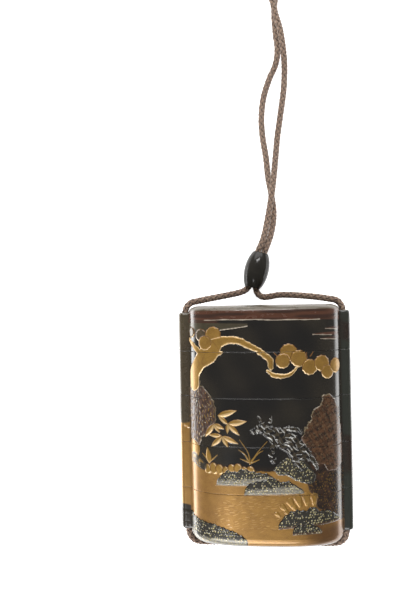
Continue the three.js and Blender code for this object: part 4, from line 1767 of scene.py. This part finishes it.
@dataclass(frozen=True)
class Silk:
    """Braided silk: fine threads along each strand, and a colour that varies from place to place."""

    dark: Rgba = (0.235, 0.132, 0.085, 1)
    light: Rgba = (0.450, 0.325, 0.235, 1)
    crevice_shade: Rgba = (0.050, 0.028, 0.017, 1)
    wear_scale: float = 90.0
    threads: float = 56.0
    thread_level: float = 0.82
    thread_swing: float = 0.14
    rough: float = 0.62
    sheen: float = 0.25

    def make(self) -> bpy.types.Material:
        """Builds the material, with painted shade in the hollows between the strands.

        Returns:
            The material.
        """
        n = Nodes("silk")
        worn = n.noise(self.wear_scale, 4.0)
        lines = n.math("SINE", n.math("MULTIPLY", n.number("thread"), self.threads))
        shade = n.math("ADD", self.thread_level, n.math("MULTIPLY", lines, self.thread_swing))
        tone = n.scaled(n.mix(worn, self.dark, self.light), shade)
        # The low points between the strands take the crevice colour: painted shade.
        n.surface(
            Base_Color=n.mix(n.number("stand"), self.crevice_shade, tone),
            Roughness=self.rough,
            Sheen_Weight=self.sheen,
        )
        n.bump(lines, 0.25, 0.00004)
        return n.material


@dataclass(frozen=True)
class Paper:
    """The white ground under the case, which glows a little so that it stays white."""

    color: Rgba = (0.92, 0.92, 0.92, 1)
    rough: float = 0.95
    glow_color: Rgba = (1, 1, 1, 1)
    glow: float = 0.95

    def make(self) -> bpy.types.Material:
        """Builds the material.

        Returns:
            The material.
        """
        n = Nodes("paper")
        n.surface(
            Base_Color=self.color, Roughness=self.rough, Emission_Color=self.glow_color,
            Emission_Strength=self.glow,
        )
        return n.material


@dataclass(frozen=True)
class Lamp:
    """A soft rectangular lamp: lengths in metres, power in watts, and the point that it faces."""

    name: str
    place: tuple[float, float, float]
    size: tuple[float, float]
    power: float
    target: tuple[float, float, float] = (0.0, 0.0, 0.0)

    def add(self) -> None:
        """Adds it to the scene, unseen by the camera itself."""
        data = bpy.data.lights.new(self.name, "AREA")
        data.shape = "RECTANGLE"
        data.size, data.size_y = self.size
        data.energy = self.power
        obj = bpy.data.objects.new(self.name, data)
        obj.location = self.place
        obj.visible_camera = False
        aim = Vector(self.target) - Vector(self.place)
        obj.rotation_euler = aim.to_track_quat("-Z", "Y").to_euler()
        bpy.context.scene.collection.objects.link(obj)


@dataclass
class Studio:
    """The camera, the white ground and the lights.

    The case is lit from beyond its foot and softly from its head, with glowing panels on the ground
    at its sides. What the flat front mirrors stays dark, so that the black lacquer is deep, and
    only its rounded edges mirror the panels and the white ground.
    """

    eye: tuple[float, float, float] = (-6.7116, 43.361, 223.107)
    turn: tuple[float, float, float] = (-0.0014, 0.0751, -0.0188)
    lens: float = 32.95
    sensor: float = 36.0
    nearest: float = 0.005
    ground_size: float = 3.0
    ground_drop: float = 5e-5
    daylight: float = 0.18

    LAMPS = (
        Lamp("key", (-0.12, -0.50, 0.42), (0.55, 0.30), 3.6),
        Lamp("head", (0.0, 0.60, 0.27), (0.80, 0.40), 3.2),
        Lamp("bar", (0.0, 0.43, 0.55), (0.30, 0.06), 1.4, (0.0, 0.056, 0.0)),
        Lamp("spark", (-0.70, -1.09, 2.14), (0.12, 0.09), 4.0),
        Lamp("glow_left", (-0.178, -0.05, 0.0002), (0.245, 0.26), 1.1, (-0.178, -0.05, 1.0)),
        Lamp("glow_right", (0.178, -0.05, 0.0002), (0.235, 0.26), 0.42, (0.178, -0.05, 1.0)),
    )

    def camera(self) -> None:
        """Places the camera that was fitted to the photograph."""
        data = bpy.data.cameras.new("camera")
        data.lens = self.lens
        data.sensor_width = self.sensor
        data.clip_start = self.nearest
        obj = bpy.data.objects.new("camera", data)
        obj.location = [v * MM for v in self.eye]
        obj.rotation_euler = self.turn
        bpy.context.scene.collection.objects.link(obj)
        bpy.context.scene.camera = obj

    def ground(self, finish: bpy.types.Material) -> None:
        """Lays the white ground.

        Args:
            finish: its material.
        """
        half, level = self.ground_size / 2, -self.ground_drop
        corners = [(-half, -half, level), (half, -half, level), (half, half, level), (-half, half, level)]
        mesh = bpy.data.meshes.new("ground")
        mesh.from_pydata(corners, [], [(0, 1, 2, 3)])
        obj = bpy.data.objects.new("ground", mesh)
        obj.data.materials.append(finish)
        bpy.context.scene.collection.objects.link(obj)

    def light(self) -> None:
        """Adds the lamps and an even white light from all round."""
        for lamp in self.LAMPS:
            lamp.add()
        world = bpy.data.worlds.new("studio")
        world.use_nodes = True
        back = world.node_tree.nodes["Background"]
        back.inputs["Color"].default_value = (1, 1, 1, 1)
        back.inputs["Strength"].default_value = self.daylight
        scene = bpy.context.scene
        scene.world = world
        scene.view_settings.view_transform = "Standard"


def stack() -> list[tuple[StackPiece, str]]:
    """Lays out the stack, whose lowest case is deeper than packed by BASE_DROP.

    Returns:
        Each piece from the lid down, with its material slot.
    """
    plain_sizes = StackPiece("plain", 0.0, 1.0)
    base = StackPiece(
        "case_4", -43.0 - BASE_DROP, -24.9, low_end=End.ROUNDED,
        round_height=plain_sizes.round_height + BASE_DROP,
        rib_setback=plain_sizes.rib_setback + BASE_DROP,
        end_wall=plain_sizes.end_wall + BASE_DROP,
    )
    return [
        (StackPiece("lid", 26.1, 43.0, high_end=End.ROUNDED), "lid_lacquer"),
        (StackPiece("case_1", 9.4, 26.1), "case_lacquer"),
        (StackPiece("case_2", -7.9, 9.4), "case_lacquer"),
        (StackPiece("case_3", -24.9, -7.9), "case_lacquer"),
        (base, "gold_lacquer"),
    ]


def main() -> None:
    """Builds the case, the bead, the cord and the studio round them."""
    logging.basicConfig(level=logging.INFO, format="%(message)s")
    studio, picture = Studio(), Picture()
    studio.camera()
    bead = Bead().dress(Stone().make())
    Cord().dress(Silk().make(), bead)
    lacquer = Lacquer().make()
    for piece, slot in stack():
        obj = piece.dress(picture, lacquer, slot)
        log.info("%s has %d faces", piece.node, len(obj.data.polygons))
    studio.ground(Paper().make())
    studio.light()


if __name__ == "__main__":
    main()
